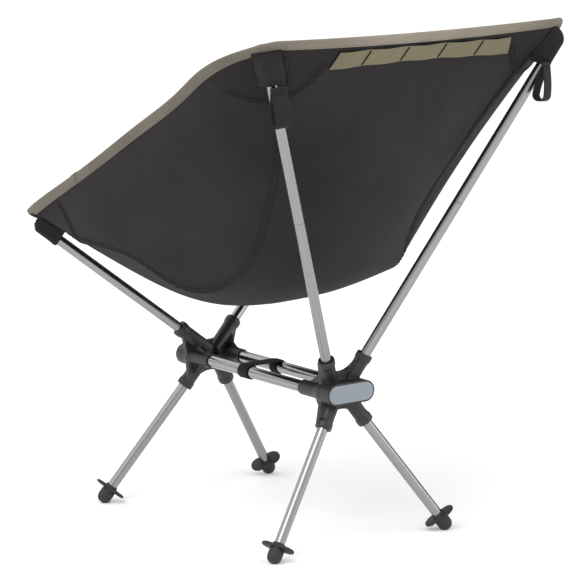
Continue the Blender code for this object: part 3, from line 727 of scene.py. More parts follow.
def make_seams():
    """The curved seams between the middle and side panels: a felled ridge with two stitch rows."""
    for side_name, side, half in CORNERS:
        end = 0.985 if half == "rear" else 0.015
        t = np.linspace(0.5, end, 110)
        s = np.full(110, side * (SEAM_U + 0.008))
        strip(f"seam_tape_{half}_{side_name}", s, t, 0.0042, 0.0005, 0.0007, CLOTH_MAT, side, half,
              "sling_cloth", (0.1, 0.75, 1.0, 0.8, 0.7, 0.8, 1.0, 0.75, 0.1))
        out = bare_normal(s, t)
        centre = sling(s, t)
        sideways = np.cross(out, unit(np.gradient(centre, axis=0)))
        rows = []
        for offset in (-0.0026, 0.0026):
            rows.append(stitch_row("row", centre + sideways * offset + out * 0.0012, out, 0.0034,
                                   THREAD_MAT, *HEAVY))
            rows.append(stitch_row("row", centre + sideways * offset - out * 0.0006, -out, 0.0038,
                                   THREAD_MAT))
        follow(joined(f"seam_stitches_{half}_{side_name}", rows), side, half, "sling_cloth")


# how far each corner patch reaches along the side edge and along the hem
PATCH_REACH = {("rear", -1): (0.085, 0.099), ("rear", 1): (0.078, 0.088),
               ("front", -1): (0.067, 0.112), ("front", 1): (0.067, 0.112)}


def corner_reach(side, half, angle):
    """How far a corner patch reaches from the corner, by angle from the side edge to the hem."""
    along_side, along_hem = PATCH_REACH[half, side]
    return along_side + (along_hem - along_side) * angle / (math.pi / 2)


def patch_params(side, half, angles, radii):
    """(s, t) for polar coordinates about a corner, with radii measured as straight distances."""
    end = 1.0 if half == "rear" else 0.0
    toward = -1 if half == "rear" else 1
    corner = bare_sling(side * 1.0, end)
    pace_s = np.linalg.norm(bare_sling(side * 0.9, end) - corner) / 0.1
    pace_t = np.linalg.norm(bare_sling(side * 1.0, end + toward * 0.1) - corner) / 0.1
    k = np.linspace(0, 1.6, 240)
    s_out, t_out = [], []
    for angle in angles:
        ds = np.sin(angle) / pace_s * 0.15
        dt = np.cos(angle) / pace_t * 0.15
        s_line = side * np.clip(1 - k * ds, 0, 1)
        t_line = np.clip(end + toward * k * dt, 0, 1)
        away = np.maximum.accumulate(np.linalg.norm(bare_sling(s_line, t_line) - corner, axis=-1))
        away += np.arange(len(away)) * 1e-9
        wanted = np.interp(radii * corner_reach(side, half, angle), away, k)
        s_out.append(side * (1 - wanted * ds))
        t_out.append(end + toward * wanted * dt)
    return np.array(s_out), np.array(t_out)


def make_patches():
    """Reinforcement sewn over each corner, outside and inside, with a double stitched edge."""
    for side_name, side, half in CORNERS:
        angles = np.linspace(0, math.pi / 2, 40)
        radii = np.concatenate((np.linspace(0.02, 0.895, 18), np.linspace(0.905, 0.99, 8), [1.0]))
        s, t = patch_params(side, half, angles, radii)
        out = bare_normal(s, t)
        for label, turn in (("outer", 1), ("inner", -1)):
            base = sling(s, t)
            normal = grid_normals(base, out * turn)
            level = 0.0011 + 0.0008 * np.clip((radii - 0.90) / 0.02, 0, 1) * np.ones(s.shape)
            level[:, -1] = 0.0007
            away = corner_reach(side, half, angles)[:, None] * radii
            rim = away * np.minimum(np.sin(angles), np.cos(angles))[:, None]
            level = np.where(rim < BINDING_WIDTH + 0.001, 0.0009, level)
            top = base + normal * level[..., None]
            bottom = base + normal * 0.0003
            piece = cloth_piece(f"patch_{label}_{half}_{side_name}", top, bottom, PATCH_MAT, normal)
            nodes = [f"{half}_corner_{side_name}"] if label == "outer" else []
            follow(piece, side, half, "sling_cloth", *nodes)
            rows = []
            for share in (0.975, 0.925):
                ss, tt = patch_params(side, half, np.linspace(0.16, 1.42, 40), np.array([share]))
                line = sling(ss[:, 0], tt[:, 0])
                up = bare_normal(ss[:, 0], tt[:, 0]) * turn
                rows.append(stitch_row("row", line + up * 0.0020, up, 0.0034, THREAD_MAT, 0.9, 0.00040))
            follow(joined(f"patch_stitches_{label}_{half}_{side_name}", rows), side, half,
                   "sling_cloth")


CHAIN_TACKS = np.array([-0.079, -0.024, 0.031, 0.0865])    # across the chair, from its middle
CHAIN_ENDS = {-1: (0.119, 0.1265), 1: (0.134, 0.138)}      # ends of its upper and lower edge
CHAIN_DROP = 0.0150                                        # below the top hem
TACK_LEAN = 0.009                                          # a tack's top beside its foot


def make_daisy_chain():
    """Khaki webbing along the upper back, barred down at intervals so it forms slots."""
    tacks, drop = CHAIN_TACKS, CHAIN_DROP
    stops = np.concatenate((tacks, [-CHAIN_ENDS[1][0], CHAIN_ENDS[1][0]]))
    width, thick, rows = 0.0195, 0.0014, 9
    pace = np.linalg.norm(bare_sling(0.0, 0.95) - bare_sling(0.0, 1.0)) / 0.05
    for side_name, side in SIDES:
        far = np.linspace(*CHAIN_ENDS[side], rows)
        x = side * np.linspace(0, 1, 70)[:, None] * far[None]
        drops = np.linspace(drop, drop + width, rows)[None] + 0 * x
        t = 1 - drops / pace
        s = x / sling(SEAM_U, t)[..., 0] * SEAM_U
        slack = 0.0020 * np.clip(np.abs(x[..., None] - stops).min(-1) / 0.024, 0, 1) ** 1.2
        out = bare_normal(s, t)
        crown = 1 - 0.25 * np.abs(np.linspace(-1, 1, rows)) ** 6
        base = sling(s, t) + out * (0.0009 + slack)[..., None]
        top = base + out * (thick * crown)[None, :, None]
        band = cloth_piece(f"daisy_chain_{side_name}", top, base, KHAKI_MAT, grid_normals(top, out))
        follow(band, side, "rear", "webbing_khaki", *(["daisy_chain"] if side > 0 else []))
        bars = []
        for tack in tacks[(tacks * side) > 0]:
            for offset in (-0.0009, 0, 0.0009):
                share = np.linspace(0.06, 0.94, 14)
                bar_t = 1 - (drop + width * share) / pace
                bar_x = tack + offset + TACK_LEAN * (0.5 - share)
                bar_s = bar_x / sling(SEAM_U, bar_t)[..., 0] * SEAM_U
                up = bare_normal(bar_s, bar_t)
                line = sling(bar_s, bar_t) + up * (0.0009 + thick + 0.0001)
                bars.append(stitch_row("bar", line, up, 0.0016, THREAD_MAT, 0.95, 0.00045))
        follow(joined(f"daisy_bar_tacks_{side_name}", bars), side, "rear", "webbing_khaki")


def make_side_tabs():
    """Short piece of the binding tape folded over the side edge, a fifth of the way back."""
    for side_name, side in SIDES:
        t = np.linspace(0.203, 0.224, 8)
        edge = bare_sling(np.full(8, side * 1.0), t)
        inner = bare_sling(np.full(8, side * 0.93), t)
        out = bare_normal(np.full(8, side * 1.0), t)
        inward = unit(inner - edge)
        depth = 0.0135
        face = [(depth, 0.0006), (depth, 0.0026), (0.006, 0.0031), (0.0, 0.0029), (-0.0018, 0.0016)]
        ring = face + [(-0.0024, 0.0)] + [(a, -h) for a, h in reversed(face)] + [(0.006, 0.0)]
        rings = [[e + i * a + o * h for a, h in ring] for e, i, o in zip(edge, inward, out)]
        around = distances(np.array(ring))
        # The tab's UV X stays under 0.011 m, so the binding material paints it at 0.52 of full
        # brightness: painted shade.
        uv = [(k * 0.0015, a) for k in range(8) for a in around]
        tab = swept(f"side_tab_cover_{side_name}", rings, BINDING_MAT, uv=uv)
        sharpen(tab, 50)
        follow(tab, side, "front", "binding", f"side_tab_{side_name}")


# ---------------------------------------------------------------- pockets and pull tabs
# how far each pocket's mouth is drawn up the pole, from its -X edge across the pole to its +X edge
MOUTH_CUT = {("front", "left"): (0, 0, 0, 0), ("front", "right"): (0, 0, 0, 0),
             ("rear", "left"): (-0.003, 0.010, 0.010, -0.009),
             ("rear", "right"): (-0.004, 0.001, 0.001, -0.002)}
POCKET_RADIUS = 0.0086
POCKET_BEND = 0.46             # share of a pocket's half width that is bent round the pole
POCKET_WRAP = math.radians(58)
POCKET_FLARE = {"front": 0.0160, "rear": 0.0180}
POCKET_SPAN = {"front": (-0.001, 0.007), "rear": (-0.004, 0.012)}  # before the mouth, past the tip


def make_pocket(side_name, side, half):
    """A sleeve sewn under the corner along both sides, open at its mouth, for the pole's tip."""
    pole = BACK_POLE if half == "rear" else SEAT_POLE
    start, mouth = (np.array(p) for p in axis_of(pole, side))
    direction = unit(mouth - start)
    first, past_tip = POCKET_SPAN[half]
    closed = TIP_REACH + past_tip
    stations = np.concatenate((np.linspace(first, TIP_REACH - 0.002, 22),
                               np.linspace(TIP_REACH, closed, 10)))
    flare = POCKET_FLARE[half]
    centres = mouth + direction * stations[:, None]
    s, t = nearest(centres, side, half)
    out = bare_normal(s, t)
    out = unit(out - direction * (out @ direction)[:, None])
    beside = np.cross(direction, out)
    w = np.linspace(-1, 1, 49)
    bend = POCKET_BEND
    angle = np.clip(w / bend, -1, 1) * POCKET_WRAP
    past = np.clip(stations - TIP_REACH + 0.001, 0, None) / (closed - TIP_REACH + 0.001)
    dome = np.sqrt(np.clip(1 - past ** 2, 0, 1))
    arch = centres[:, None] + POCKET_RADIUS * (out[:, None] * np.cos(angle)[:, None] +
                                               beside[:, None] * np.sin(angle)[:, None])
    spread = centres[:, None] + beside[:, None] * (w[:, None] * flare)
    low_s, low_t = nearest(spread, side, half)
    low = bare_sling(low_s, low_t) + bare_normal(low_s, low_t) * 0.0016
    share = np.clip((np.abs(w) - bend) / (1 - bend), 0, 1)[None, :, None]
    fade = np.clip(1 - (stations - first) / (TIP_REACH - 0.004 - first), 0, 1)[:, None]
    cut = np.array(MOUTH_CUT[half, side_name])
    shift = np.interp(w, (-1, -bend, bend, 1), cut)[None] * fade
    arch = arch + direction * shift[..., None]
    low = low + direction * shift[..., None]
    ends = np.where((w < 0)[None, :, None], low[:, :1], low[:, -1:])
    tent = arch * (1 - share) + ends * share
    tent = low + (tent - low) * dome[:, None, None]
    height = ((tent - low) * out[:, None]).sum(-1, keepdims=True)
    outer = np.where(height > 0, tent, low)
    normal = grid_normals(outer, np.repeat(out[:, None], 49, 1))
    hem = np.exp(-((stations - stations[0] - 0.003) / 0.0028) ** 6)
    outer = outer + normal * (0.0006 * hem)[:, None, None]
    inner = outer - normal * 0.0011
    sleeve = cloth_piece(f"pocket_{half}_{side_name}", outer, inner, PATCH_MAT, normal)
    settle(sleeve, BODY_OF[half] + side_name, "sling_cloth", f"{half}_pocket_{side_name}")
    rows = []
    for column in (1, 47):
        rows.append(stitch_row("row", outer[:, column] + normal[:, column] * 0.0002, normal[:, column],
                               0.0036, THREAD_MAT, 0.85, 0.00035))
    rows.append(stitch_row("row", outer[5] + normal[5] * 0.0002, normal[5], 0.0036, THREAD_MAT))
    settle(joined(f"pocket_stitches_{half}_{side_name}", rows), BODY_OF[half] + side_name,
           "sling_cloth")


def make_pull_tab(side_name, side):
    """Webbing loop hanging from the rear pocket's mouth."""
    mouth = axis_of(BACK_POLE, side)[1]
    facing = Vector((0.420, -0.907, 0)) if side > 0 else Vector((-0.200, -0.980, 0))
    drop = Vector((-side * 0.140, 0.050, -0.989))
    facing = (facing - drop * facing.dot(drop)).normalized()
    across = facing.cross(drop).normalized()
    hinge = mouth + Vector((-0.0040 - side * 0.0035, -0.0130, -0.001))
    length, gap, thick = 0.043, 0.0075, WEBBING_THICK
    line = [(0.0, 0.0015)]
    line += [(gap * math.sin(math.pi * k / 2), -length * k) for k in np.linspace(0.06, 0.86, 12)]
    line += [(gap * math.cos(a), -length * 0.88 - gap * math.sin(a))
             for a in np.linspace(0.15, math.pi - 0.15, 11)]
    line += [(-x, z) for x, z in reversed(line[1:13])]
    line.append((-0.0002, 0.0015))
    section = rounded_rectangle(thick / 2, WEBBING_WIDTH / 2, thick * 0.45, 3)
    loop = webbing(f"pull_loop_{side_name}", line, section,
                   lambda x, z, b: hinge + facing * x - drop * z + across * b)
    settle(loop, f"pull_tab_{side_name}", "webbing_black", f"pull_tab_{side_name}")
    rows = []
    for below in (0.0035, 0.0065):
        for turn in (1, -1):
            x = gap * math.sin(math.pi * below / length / 2)
            ends = [hinge + facing * turn * (x + thick / 2 + 0.0001) + across * b + drop * below
                    for b in np.linspace(-0.008, 0.008, 12)]
            rows.append(stitch_row("row", np.array(ends), np.array([facing * turn] * 12), 0.0022,
                                   THREAD_MAT, 0.85, 0.00035))
    settle(joined(f"pull_loop_stitches_{side_name}", rows), f"pull_tab_{side_name}", "webbing_black")


# ---------------------------------------------------------------- hubs
def add_walls(work, rings):
    """Side faces between two rings of vertices."""
    count = len(rings[0])
    for i in range(count):
        j = (i + 1) % count
        work.faces.new((rings[0][i], rings[0][j], rings[1][j], rings[1][i]))


def add_plate(work, outline_points, y_low, y_high):
    """A flat plate in XZ, about the hubs' height."""
    rings = [[work.verts.new(spot((x, y, HUB_Z + z))) for x, z in outline_points]
             for y in (y_low, y_high)]
    work.faces.new(rings[0])
    work.faces.new(rings[1])
    add_walls(work, rings)


def add_lathe(work, profile, start, end, sides=40):
    """Closed turned solid, written into a bmesh."""
    turn = (end - start).to_track_quat("Z", "Y").to_matrix()
    previous = None
    for radius, height in profile:
        if radius < 1e-7:
            ring = [work.verts.new(start + turn @ Vector((0, 0, height)))] * sides
        else:
            ring = [work.verts.new(start + turn @ Vector((radius * math.cos(2 * math.pi * i / sides),
                                                          radius * math.sin(2 * math.pi * i / sides),
                                                          height))) for i in range(sides)]
        if previous:
            for i in range(sides):
                j = (i + 1) % sides
                corners = list(dict.fromkeys((previous[i], previous[j], ring[j], ring[i])))
                work.faces.new(corners)
        previous = ring


def add_ridge(work, start, end, width, height, up):
    """A raised rib between two points."""
    along = (end - start).normalized()
    beside = along.cross(up).normalized()
    rings = []
    for place, size in ((start, 0.7), (end, 1.0)):
        rings.append([work.verts.new(place + beside * width / 2 * a * size + up * height * b)
                      for a, b in ((-1, -1), (1, -1), (0.55, 1), (-0.55, 1))])
    work.faces.new(rings[0])
    work.faces.new(rings[1])
    add_walls(work, rings)


def stadium(width, height, steps=12):
    """Outline of a long oval with round ends."""
    radius = height / 2
    reach = width / 2 - radius
    points = []
    for centre, first in ((reach, -90), (-reach, 90)):
        for i in range(steps + 1):
            a = math.radians(first + 180 * i / steps)
            points.append((centre + radius * math.cos(a), radius * math.sin(a)))
    return points


def saddle(x0, z0, x1, z1, dip, steps=14):
    """A line between two points that sags by dip."""
    points = []
    for t in (i / steps for i in range(steps + 1)):
        points.append((x0 + (x1 - x0) * t, z0 + (z1 - z0) * t - dip * math.sin(math.pi * t) ** 0.8))
    return points


def web_outline(upper, lower):
    """The plate between a hub's four arms, drawn in at each side."""
    ux, uz = upper[0] * 0.86, upper[2] - HUB_Z - 0.006
    lx, lz = lower[0] * 0.86, lower[2] - HUB_Z + 0.006
    top = saddle(-ux, uz, ux, uz, 0.014)
    right = [(z, x) for x, z in saddle(uz, ux + 0.006, lz, lx + 0.006, 0.0035, 8)]
    bottom = saddle(lx, lz, -lx, lz, -0.013)
    left = [(-x, z) for x, z in reversed(right)]
    return top + right + bottom + left


# turned outlines of a hub's sockets, as radius and distance past the mouth
POLE_SOCKET = [(0, 0), (0.0097, 0), (0.0104, -0.0008), (0.0105, -0.0068), (0.0097, -0.0092),
               (0.0092, -0.012), (0.0090, -0.052), (0, -0.052)]
BAR_SOCKET = [(0, 0), (0.0088, 0), (0.0095, 0.0008), (0.0096, 0.026), (0.0099, 0.031), (0.0108, 0.0365),
              (0.0124, 0.043), (0.0113, 0.050), (0.0113, 0.058), (0, 0.058)]


def make_hub(label, facing, upper, lower):
    """Block, web and sockets melted into one moulding, then bored."""
    work = bmesh.new()
    add_plate(work, stadium(*BLOCK_SIZE), facing * BLOCK_IN, facing * BLOCK_OUT)
    add_plate(work, web_outline(upper[0], lower[0]), facing * WEB_IN, facing * WEB_OUT)
    for side in (-1, 1):
        mouth = spot((side * BAR_X, facing * BAR_MOUTH, HUB_Z))
        inboard = spot((side * BAR_X, facing * 0.160, HUB_Z))
        add_lathe(work, BAR_SOCKET, mouth, inboard)
        arms = {}
        for name, (tip, target) in (("upper", upper), ("lower", lower)):
            tip, target = axis_of((tip, target), side)
            add_lathe(work, POLE_SOCKET, tip, target)
            arms[name] = (tip, (target - tip).normalized())
            outward = Vector((0, facing, 0))
            along = arms[name][1]
            up = (outward - along * outward.dot(along)).normalized()
            far, near = (tip - along * back + up * 0.0088 for back in (0.040, 0.008))
            add_ridge(work, far, near, 0.0040, 0.0014, up)
        add_fins(work, side, facing, arms)
    bmesh.ops.recalc_face_normals(work, faces=work.faces)
    hub = from_work(f"hub_moulding_{label}", work, HUB_MAT)
    fuse(hub)
    carve(hub, facing, upper, lower)
    hub.data.shade_smooth()
    sharpen(hub, 38)
    settle(hub, "frame", "hub_plastic", f"hub_{label}")


def add_fins(work, side, facing, arms):
    """Thin gussets from each arm to the crossbar's socket."""
    upper_tip, upper_way = arms["upper"]
    lower_tip, lower_way = arms["lower"]
    for tip, way, rise in ((upper_tip, upper_way, 1), (lower_tip, lower_way, -1)):
        top = tip - way * 0.012
        root = tip - way * 0.050
        bar_far = spot((side * BAR_X, facing * (BAR_MOUTH + 0.004), HUB_Z + rise * 0.006))
        bar_near = spot((side * BAR_X, facing * 0.146, HUB_Z + rise * 0.006))
        reach = 1.0 if rise > 0 else 0.55
        start = top - Vector((0, facing, 0)) * 0.006
        finish = bar_far + (bar_near - bar_far) * (1 - reach)
        control = spot((side * BAR_X, facing * 0.128, HUB_Z + rise * 0.014))
        curve = [start * (1 - t) ** 2 + control * 2 * t * (1 - t) + finish * t * t
                 for t in (i / 10 for i in range(11))]
        loop = curve + [bar_near, root, top]
        thick = Vector((1, 0, 0)) * 0.0028
        rings = [[work.verts.new(p + thick * k) for p in loop] for k in (-0.5, 0.5)]
        fan(work, rings)


def fan(work, rings):
    """Close a thick plate whose outline isn't flat, by triangles about its middle."""
    count = len(rings[0])
    for ring in rings:
        middle = Vector()
        for vert in ring:
            middle += vert.co / count
        hub = work.verts.new(middle)
        for i in range(count):
            work.faces.new((ring[i], ring[(i + 1) % count], hub))
    add_walls(work, rings)


def applied(obj):
    """Bake an object's modifiers into its mesh."""
    depsgraph = bpy.context.evaluated_depsgraph_get()
    mesh = bpy.data.meshes.new_from_object(obj.evaluated_get(depsgraph))
    obj.modifiers.clear()
    obj.data = mesh
    return obj


def fuse(obj, voxel=0.00065, rounds=2):
    """Melt overlapping solids into one moulding with small fillets."""
    remesh = obj.modifiers.new("melt", "REMESH")
    remesh.mode = "VOXEL"
    remesh.voxel_size = voxel
    soften = obj.modifiers.new("soften", "SMOOTH")
    soften.factor = 0.5
    soften.iterations = rounds
    return applied(obj)


def carve(hub, facing, upper, lower):
    """Cut the sockets' bores and the badge's recess."""
    work = bmesh.new()
    for side in (-1, 1):
        for pole in (upper, lower):
            add_lathe(work, [(0, 0.012), (0.0078, 0.012), (0.0070, -0.0006), (0.00675, -0.0010),
                             (0.00675, -SOCKET_DEPTH - 0.0003), (0, -SOCKET_DEPTH - 0.0003)],
                      *axis_of(pole, side))
        mouth = spot((side * BAR_X, facing * BAR_MOUTH, HUB_Z))
        far = spot((side * BAR_X, facing * 0.16, HUB_Z))
        add_lathe(work, [(0, -0.012), (0.0088, -0.012), (0.0080, 0.0006), (0.00775, 0.0010),
                         (0.00775, 0.0303), (0, 0.0303)], mouth, far)
    recess = [size + BADGE_GAP for size in BADGE_SIZE]
    add_plate(work, stadium(*recess, 16), facing * (BLOCK_OUT - 0.0018), facing * (BLOCK_OUT + 0.004))
    bmesh.ops.recalc_face_normals(work, faces=work.faces)
    cutter = from_work("cutter", work)
    cut = hub.modifiers.new("cut", "BOOLEAN")
    cut.operation = "DIFFERENCE"
    cut.solver = "EXACT"
    cut.object = cutter
    applied(hub)
    bpy.data.objects.remove(cutter, do_unlink=True)


def make_badge(label, facing):
    """Satin insert with a rolled rim."""
    rings = []
    for inset, level in ((0.0, -0.0016), (0.0, -0.0002), (0.0002, 0.0001), (0.0006, 0.0004),
                         (0.0012, 0.0005), (0.006, 0.00056)):
        outline_points = stadium(*(size - 2 * inset for size in BADGE_SIZE), 20)
        rings.append([spot((x, facing * (BLOCK_OUT + level), HUB_Z + z)) for x, z in outline_points])
    badge = swept(f"badge_plate_{label}", rings, BADGE_MAT)
    sharpen(badge, 60)
    settle(badge, "frame", "badge", f"badge_{label}")


# ---------------------------------------------------------------- tubes, tips, feet and strap
def make_crossbars():
    for side_name, side in SIDES:
        half = BAR_MOUTH + BAR_DEPTH
        start, end = spot((side * BAR_X, -half, HUB_Z)), spot((side * BAR_X, half, HUB_Z))
        bar = tube(f"bar_tube_{side_name}", 0, 2 * half, BAR_R, 0.001, start, end, BAR_MAT)
        settle(bar, "frame", "bright_aluminium", f"crossbar_{side_name}")


def foot_profile(length):
    """Rounded rubber tip with a groove and a collar that grips the tube."""
    centre = length
    profile = [(0, centre + 0.0084), (0.0040, centre + 0.0083)]
    profile += [(0.0092 * math.sin(a), centre + 0.0092 * math.cos(a))
                for a in np.linspace(0.50, math.pi / 2, 9)]
    profile += [(0.0093, centre - 0.0035), (0.0091, centre - 0.0088), (0.0084, centre - 0.0100),
                (0.0080, centre - 0.0116), (0.0080, centre - 0.0157), (0.0077, centre - 0.0168),
                (0.0068, centre - 0.0170), (0.0068, centre - 0.004), (0, centre - 0.004)]
    return profile


def make_leg(where, pole, side):
    start, end = axis_of(pole, side)
    length = (end - start).length
    body = f"leg_{where}"
    make_section(f"leg_{where}_tube", -SOCKET_DEPTH, length - 0.0045, (start, end), body,
                 f"leg_tube_{where}")
    foot = lathe(f"foot_tip_{where}", foot_profile(length), start, end, FOOT_MAT)
    flange = make_flange(f"foot_flange_{where}", length, FOOT_TWIST[where], start, end)
    settle(foot, body, "foot_rubber", f"foot_{where}")
    settle(flange, body, "foot_rubber")


def make_flange(name, length, twist, start, end):
    """Two round lobes joined by a waist, with eased edges."""
    lobe, reach, thick = 0.0115, 0.0093, 0.0026
    outline_points = []
    for centre, first, last in ((reach, -135, 135), (-reach, 45, 315)):
        for i in range(25):
            a = math.radians(first + (last - first) * i / 24)
            outline_points.append((centre + lobe * math.cos(a), lobe * math.sin(a)))
    smooth = []
    count = len(outline_points)
    for i in range(count):
        before, here, after = (outline_points[(i + k) % count] for k in (-1, 0, 1))
        smooth.append([(a + 2 * b + c) / 4 for a, b, c in zip(before, here, after)])
    turn = math.radians(twist)
    rings = []
    for inset, level in ((0.0006, -0.5), (0.0001, -0.36), (0.0, 0.0), (0.0001, 0.36), (0.0006, 0.5)):
        ring = []
        for x, y in smooth:
            size = 1 - inset / math.hypot(x, y)
            x, y = x * size, y * size
            ring.append((x * math.cos(turn) - y * math.sin(turn),
                         x * math.sin(turn) + y * math.cos(turn), length - 0.012 + level * thick))
        rings.append(ring)
    return stand(sharpen(swept(name, rings, FOOT_MAT), 50), start, end)


def make_tip(name, tube_end, start, end, body, *nodes):
    """Domed plug with a spigot inside the tube."""
    head, spigot = 0.0071, TUBE_R - TUBE_WALL - 0.0003
    top = tube_end + TIP_CAP
    profile = [(head * math.sin(a), top - head * 0.6 * (1 - math.cos(a)))
               for a in np.linspace(0, math.pi / 2, 9)]
    profile += [(head, tube_end + 0.0006), (head - 0.0003, tube_end + 0.0003),
                (spigot, tube_end + 0.0003), (spigot, tube_end - 0.012), (0, tube_end - 0.012)]
    tip = lathe(name, profile, start, end, TIP_MAT)
    settle(tip, body, "tip_plastic", *nodes)


def make_section(name, low, high, axis, body, replaced):
    """One length of grey tube on a leg's or pole's axis."""
    section = tube(name, low, high, TUBE_R, TUBE_WALL, *axis, POLE_MAT)
    settle(section, body, "anodised_grey", replaced)


def make_poles():
    for side_name, side in SIDES:
        axis = axis_of(SEAT_POLE, side)
        top = (axis[1] - axis[0]).length + TIP_REACH - TIP_CAP
        body = f"seat_pole_{side_name}"
        make_section(f"seat_pole_tube_{side_name}", -SOCKET_DEPTH, top, axis, body, body)
        make_tip(f"seat_tip_{side_name}", top, *axis, body, f"seat_pole_tip_{side_name}")
        axis = axis_of(BACK_POLE, side)
        top = (axis[1] - axis[0]).length + TIP_REACH - TIP_CAP
        body = f"back_pole_{side_name}"
        make_section(f"back_tube_lower_{side_name}", -SOCKET_DEPTH, BACK_JOINT - JOINT_GAP / 2, axis,
                     body, f"back_pole_lower_{side_name}")
        make_section(f"back_tube_upper_{side_name}", BACK_JOINT + JOINT_GAP / 2, top, axis, body,
                     f"back_pole_upper_{side_name}")
        make_tip(f"back_tip_{side_name}", top, *axis, body, f"back_pole_tip_{side_name}")


def make_strap():
    """Webbing loop snug round each crossbar, crossing over between them."""
    radius = BAR_R + 0.0003
    thick = WEBBING_THICK
    section = rounded_rectangle(thick / 2, WEBBING_WIDTH / 2, thick * 0.45, 3)
    points = [(x, radius + thick * 0.55) for x in np.linspace(BAR_X * 0.98, -BAR_X, 16)]
    points += [(-BAR_X + (radius + thick / 2) * math.cos(a), (radius + thick / 2) * math.sin(a))
               for a in np.linspace(math.pi / 2, math.pi * 2.40, 44)[1:]]
    strap_along(points, section, STRAP_Y, "keeper_left", -1)
    points = [(BAR_X + (radius + thick / 2) * math.cos(a), (radius + thick / 2) * math.sin(a))
              for a in np.linspace(math.pi / 2, -math.pi * 1.42, 46)]
    section = rounded_rectangle(thick / 2, 0.0065, thick * 0.45, 3)
    strap_along(points, section, STRAP_Y + 0.002, "keeper_right", 1)


def strap_along(points, section, y, name, side):
    """Part of the keeper strap, swept in the plane across the crossbars."""
    section = [(-a, b) for a, b in section]
    strap = webbing(name, points, section, lambda x, z, b: spot((x, y + b, HUB_Z + z)))
    settle(strap, "keeper", "webbing_black", *(["keeper_strap"] if side < 0 else []))


# ---------------------------------------------------------------- light, floor and camera
WALL_LEVEL = 1.4
CAMERA_PLACE = (-2.293, -3.204, 1.018)
CAMERA_TURN = (35.96, -10.48, -0.49)       # yaw, pitch and roll, in degrees
CAMERA_LENS = 197.2                        # millimetres, for a 36 mm wide sensor
# brightness of the studio's walls: by bearing, as a share of a turn, and by height above the horizon
WALLS = [(0.0, 1.0), (0.10, 1.0), (0.14, 0.35), (0.18, 1.0), (0.30, 0.75), (0.36, 1.0), (0.46, 1.0),
         (0.50, 0.15), (0.64, 0.12), (0.70, 0.9), (0.80, 1.0), (1.0, 1.0)]
HEIGHTS = [(0.0, 1.0), (0.10, 1.0), (0.16, 0.35), (0.26, 0.35), (0.32, 1.0), (0.58, 1.0), (0.66, 0.55),
           (0.74, 1.0), (1.0, 1.0)]


def area_light(name, place, target, size, power, colour=(1, 1, 1)):
    data = bpy.data.lights.new(name, "AREA")
    data.shape = "RECTANGLE"
    data.size, data.size_y = size
    data.energy = power
    data.color = colour
    lamp = bpy.data.objects.new(name, data)
    bpy.context.scene.collection.objects.link(lamp)
    lamp.location = place
    lamp.rotation_euler = (Vector(target) - Vector(place)).to_track_quat("-Z", "Y").to_euler()
    return lamp


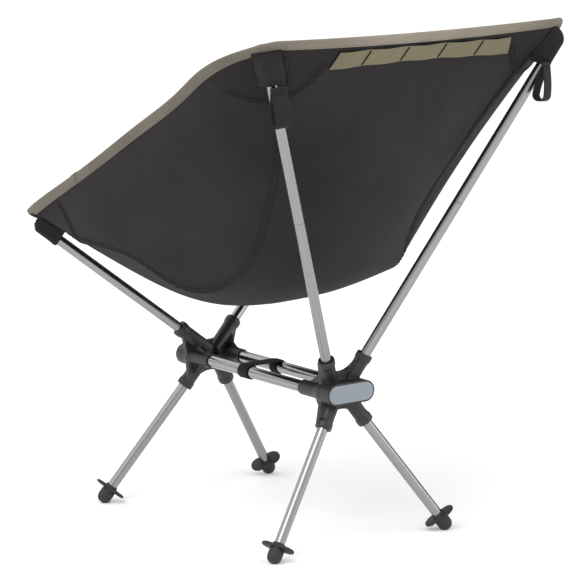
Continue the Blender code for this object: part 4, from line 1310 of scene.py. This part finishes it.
def make_studio():
    scene = bpy.context.scene
    scene.view_settings.view_transform = "Standard"
    world = bpy.data.worlds.new("studio")
    scene.world = world
    world.use_nodes = True
    tree = world.node_tree
    background = tree.nodes["Background"]
    background.inputs["Color"].default_value = (1, 1, 1, 1)
    way = coordinates(tree, "Generated", (1, 1, 1))
    around = node(tree, "ShaderNodeTexGradient", gradient_type="RADIAL")
    link(tree, way, "Vector", around, "Vector")
    walls = ramp(tree, around, "Fac", [(share, (level,) * 3) for share, level in WALLS])
    heights = ramp(tree, split_axes(tree, way), "Z",
                   [(share, (level,) * 3) for share, level in HEIGHTS])
    both = maths(tree, "MULTIPLY", (walls, "Color"), (heights, "Color"))
    level = maths(tree, "MULTIPLY", (both, 0), WALL_LEVEL)
    link(tree, level, 0, background, "Strength")
    area_light("key", (-2.2, -1.2, 3.0), (0, 0, 0.3), (2.0, 2.0), 50)
    area_light("fill", (2.6, -2.6, 1.6), (0, 0, 0.3), (1.6, 2.2), 25)
    floor_mat, _, shader = material("floor_white", (0.92, 0.92, 0.92), 0.9, specular=0.1)
    shader.inputs["Emission Color"].default_value = (1, 1, 1, 1)
    shader.inputs["Emission Strength"].default_value = 0.16
    floor = build("floor", [(-30, -30, 0), (30, -30, 0), (30, 30, 0), (-30, 30, 0)], [(0, 1, 2, 3)],
                  floor_mat)
    floor.location.z = -0.0004


def make_camera():
    """Behind the chair on its left, looking slightly down."""
    data = bpy.data.cameras.new("camera")
    data.sensor_width = 36
    data.lens = CAMERA_LENS
    camera = bpy.data.objects.new("camera", data)
    bpy.context.scene.collection.objects.link(camera)
    yaw, pitch, roll = (math.radians(a) for a in CAMERA_TURN)
    ahead = Vector((math.sin(yaw) * math.cos(pitch), math.cos(yaw) * math.cos(pitch), math.sin(pitch)))
    right = Vector((math.cos(yaw), -math.sin(yaw), 0))
    up = right.cross(ahead)
    turned_right = right * math.cos(roll) + up * math.sin(roll)
    turned_up = up * math.cos(roll) - right * math.sin(roll)
    turn = Matrix((turned_right, turned_up, -ahead)).transposed()
    camera.matrix_world = Matrix.Translation(spot(CAMERA_PLACE)) @ turn.to_4x4()
    bpy.context.scene.camera = camera


# ---------------------------------------------------------------- assembly
def finish_inner_nodes():
    """Materials for the CAD nodes that stay: cords and ferrules inside the tubes."""
    cord_mat = woven("shock_cord_braid", (0.05, 0.05, 0.05), 0.0008)
    for name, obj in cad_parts.items():
        if "_cord_" in name or "ferrule" in name:
            obj.data.materials.clear()
            obj.data.materials.append(POLE_MAT if "ferrule" in name else cord_mat)


def main():
    make_studio()
    make_camera()
    make_cloth()
    make_bindings()
    make_seams()
    make_patches()
    make_daisy_chain()
    make_side_tabs()
    make_crossbars()
    for side_name, side in SIDES:
        make_leg(f"front_{side_name}", LEG_FRONT, side)
        make_leg(f"rear_{side_name}", LEG_REAR, side)
        make_pocket(side_name, side, "front")
        make_pocket(side_name, side, "rear")
        make_pull_tab(side_name, side)
    make_poles()
    make_strap()
    make_hub("front", 1, SEAT_POLE, LEG_FRONT)
    make_hub("rear", -1, BACK_POLE, LEG_REAR)
    make_badge("front", 1)
    make_badge("rear", -1)
    finish_inner_nodes()


main()
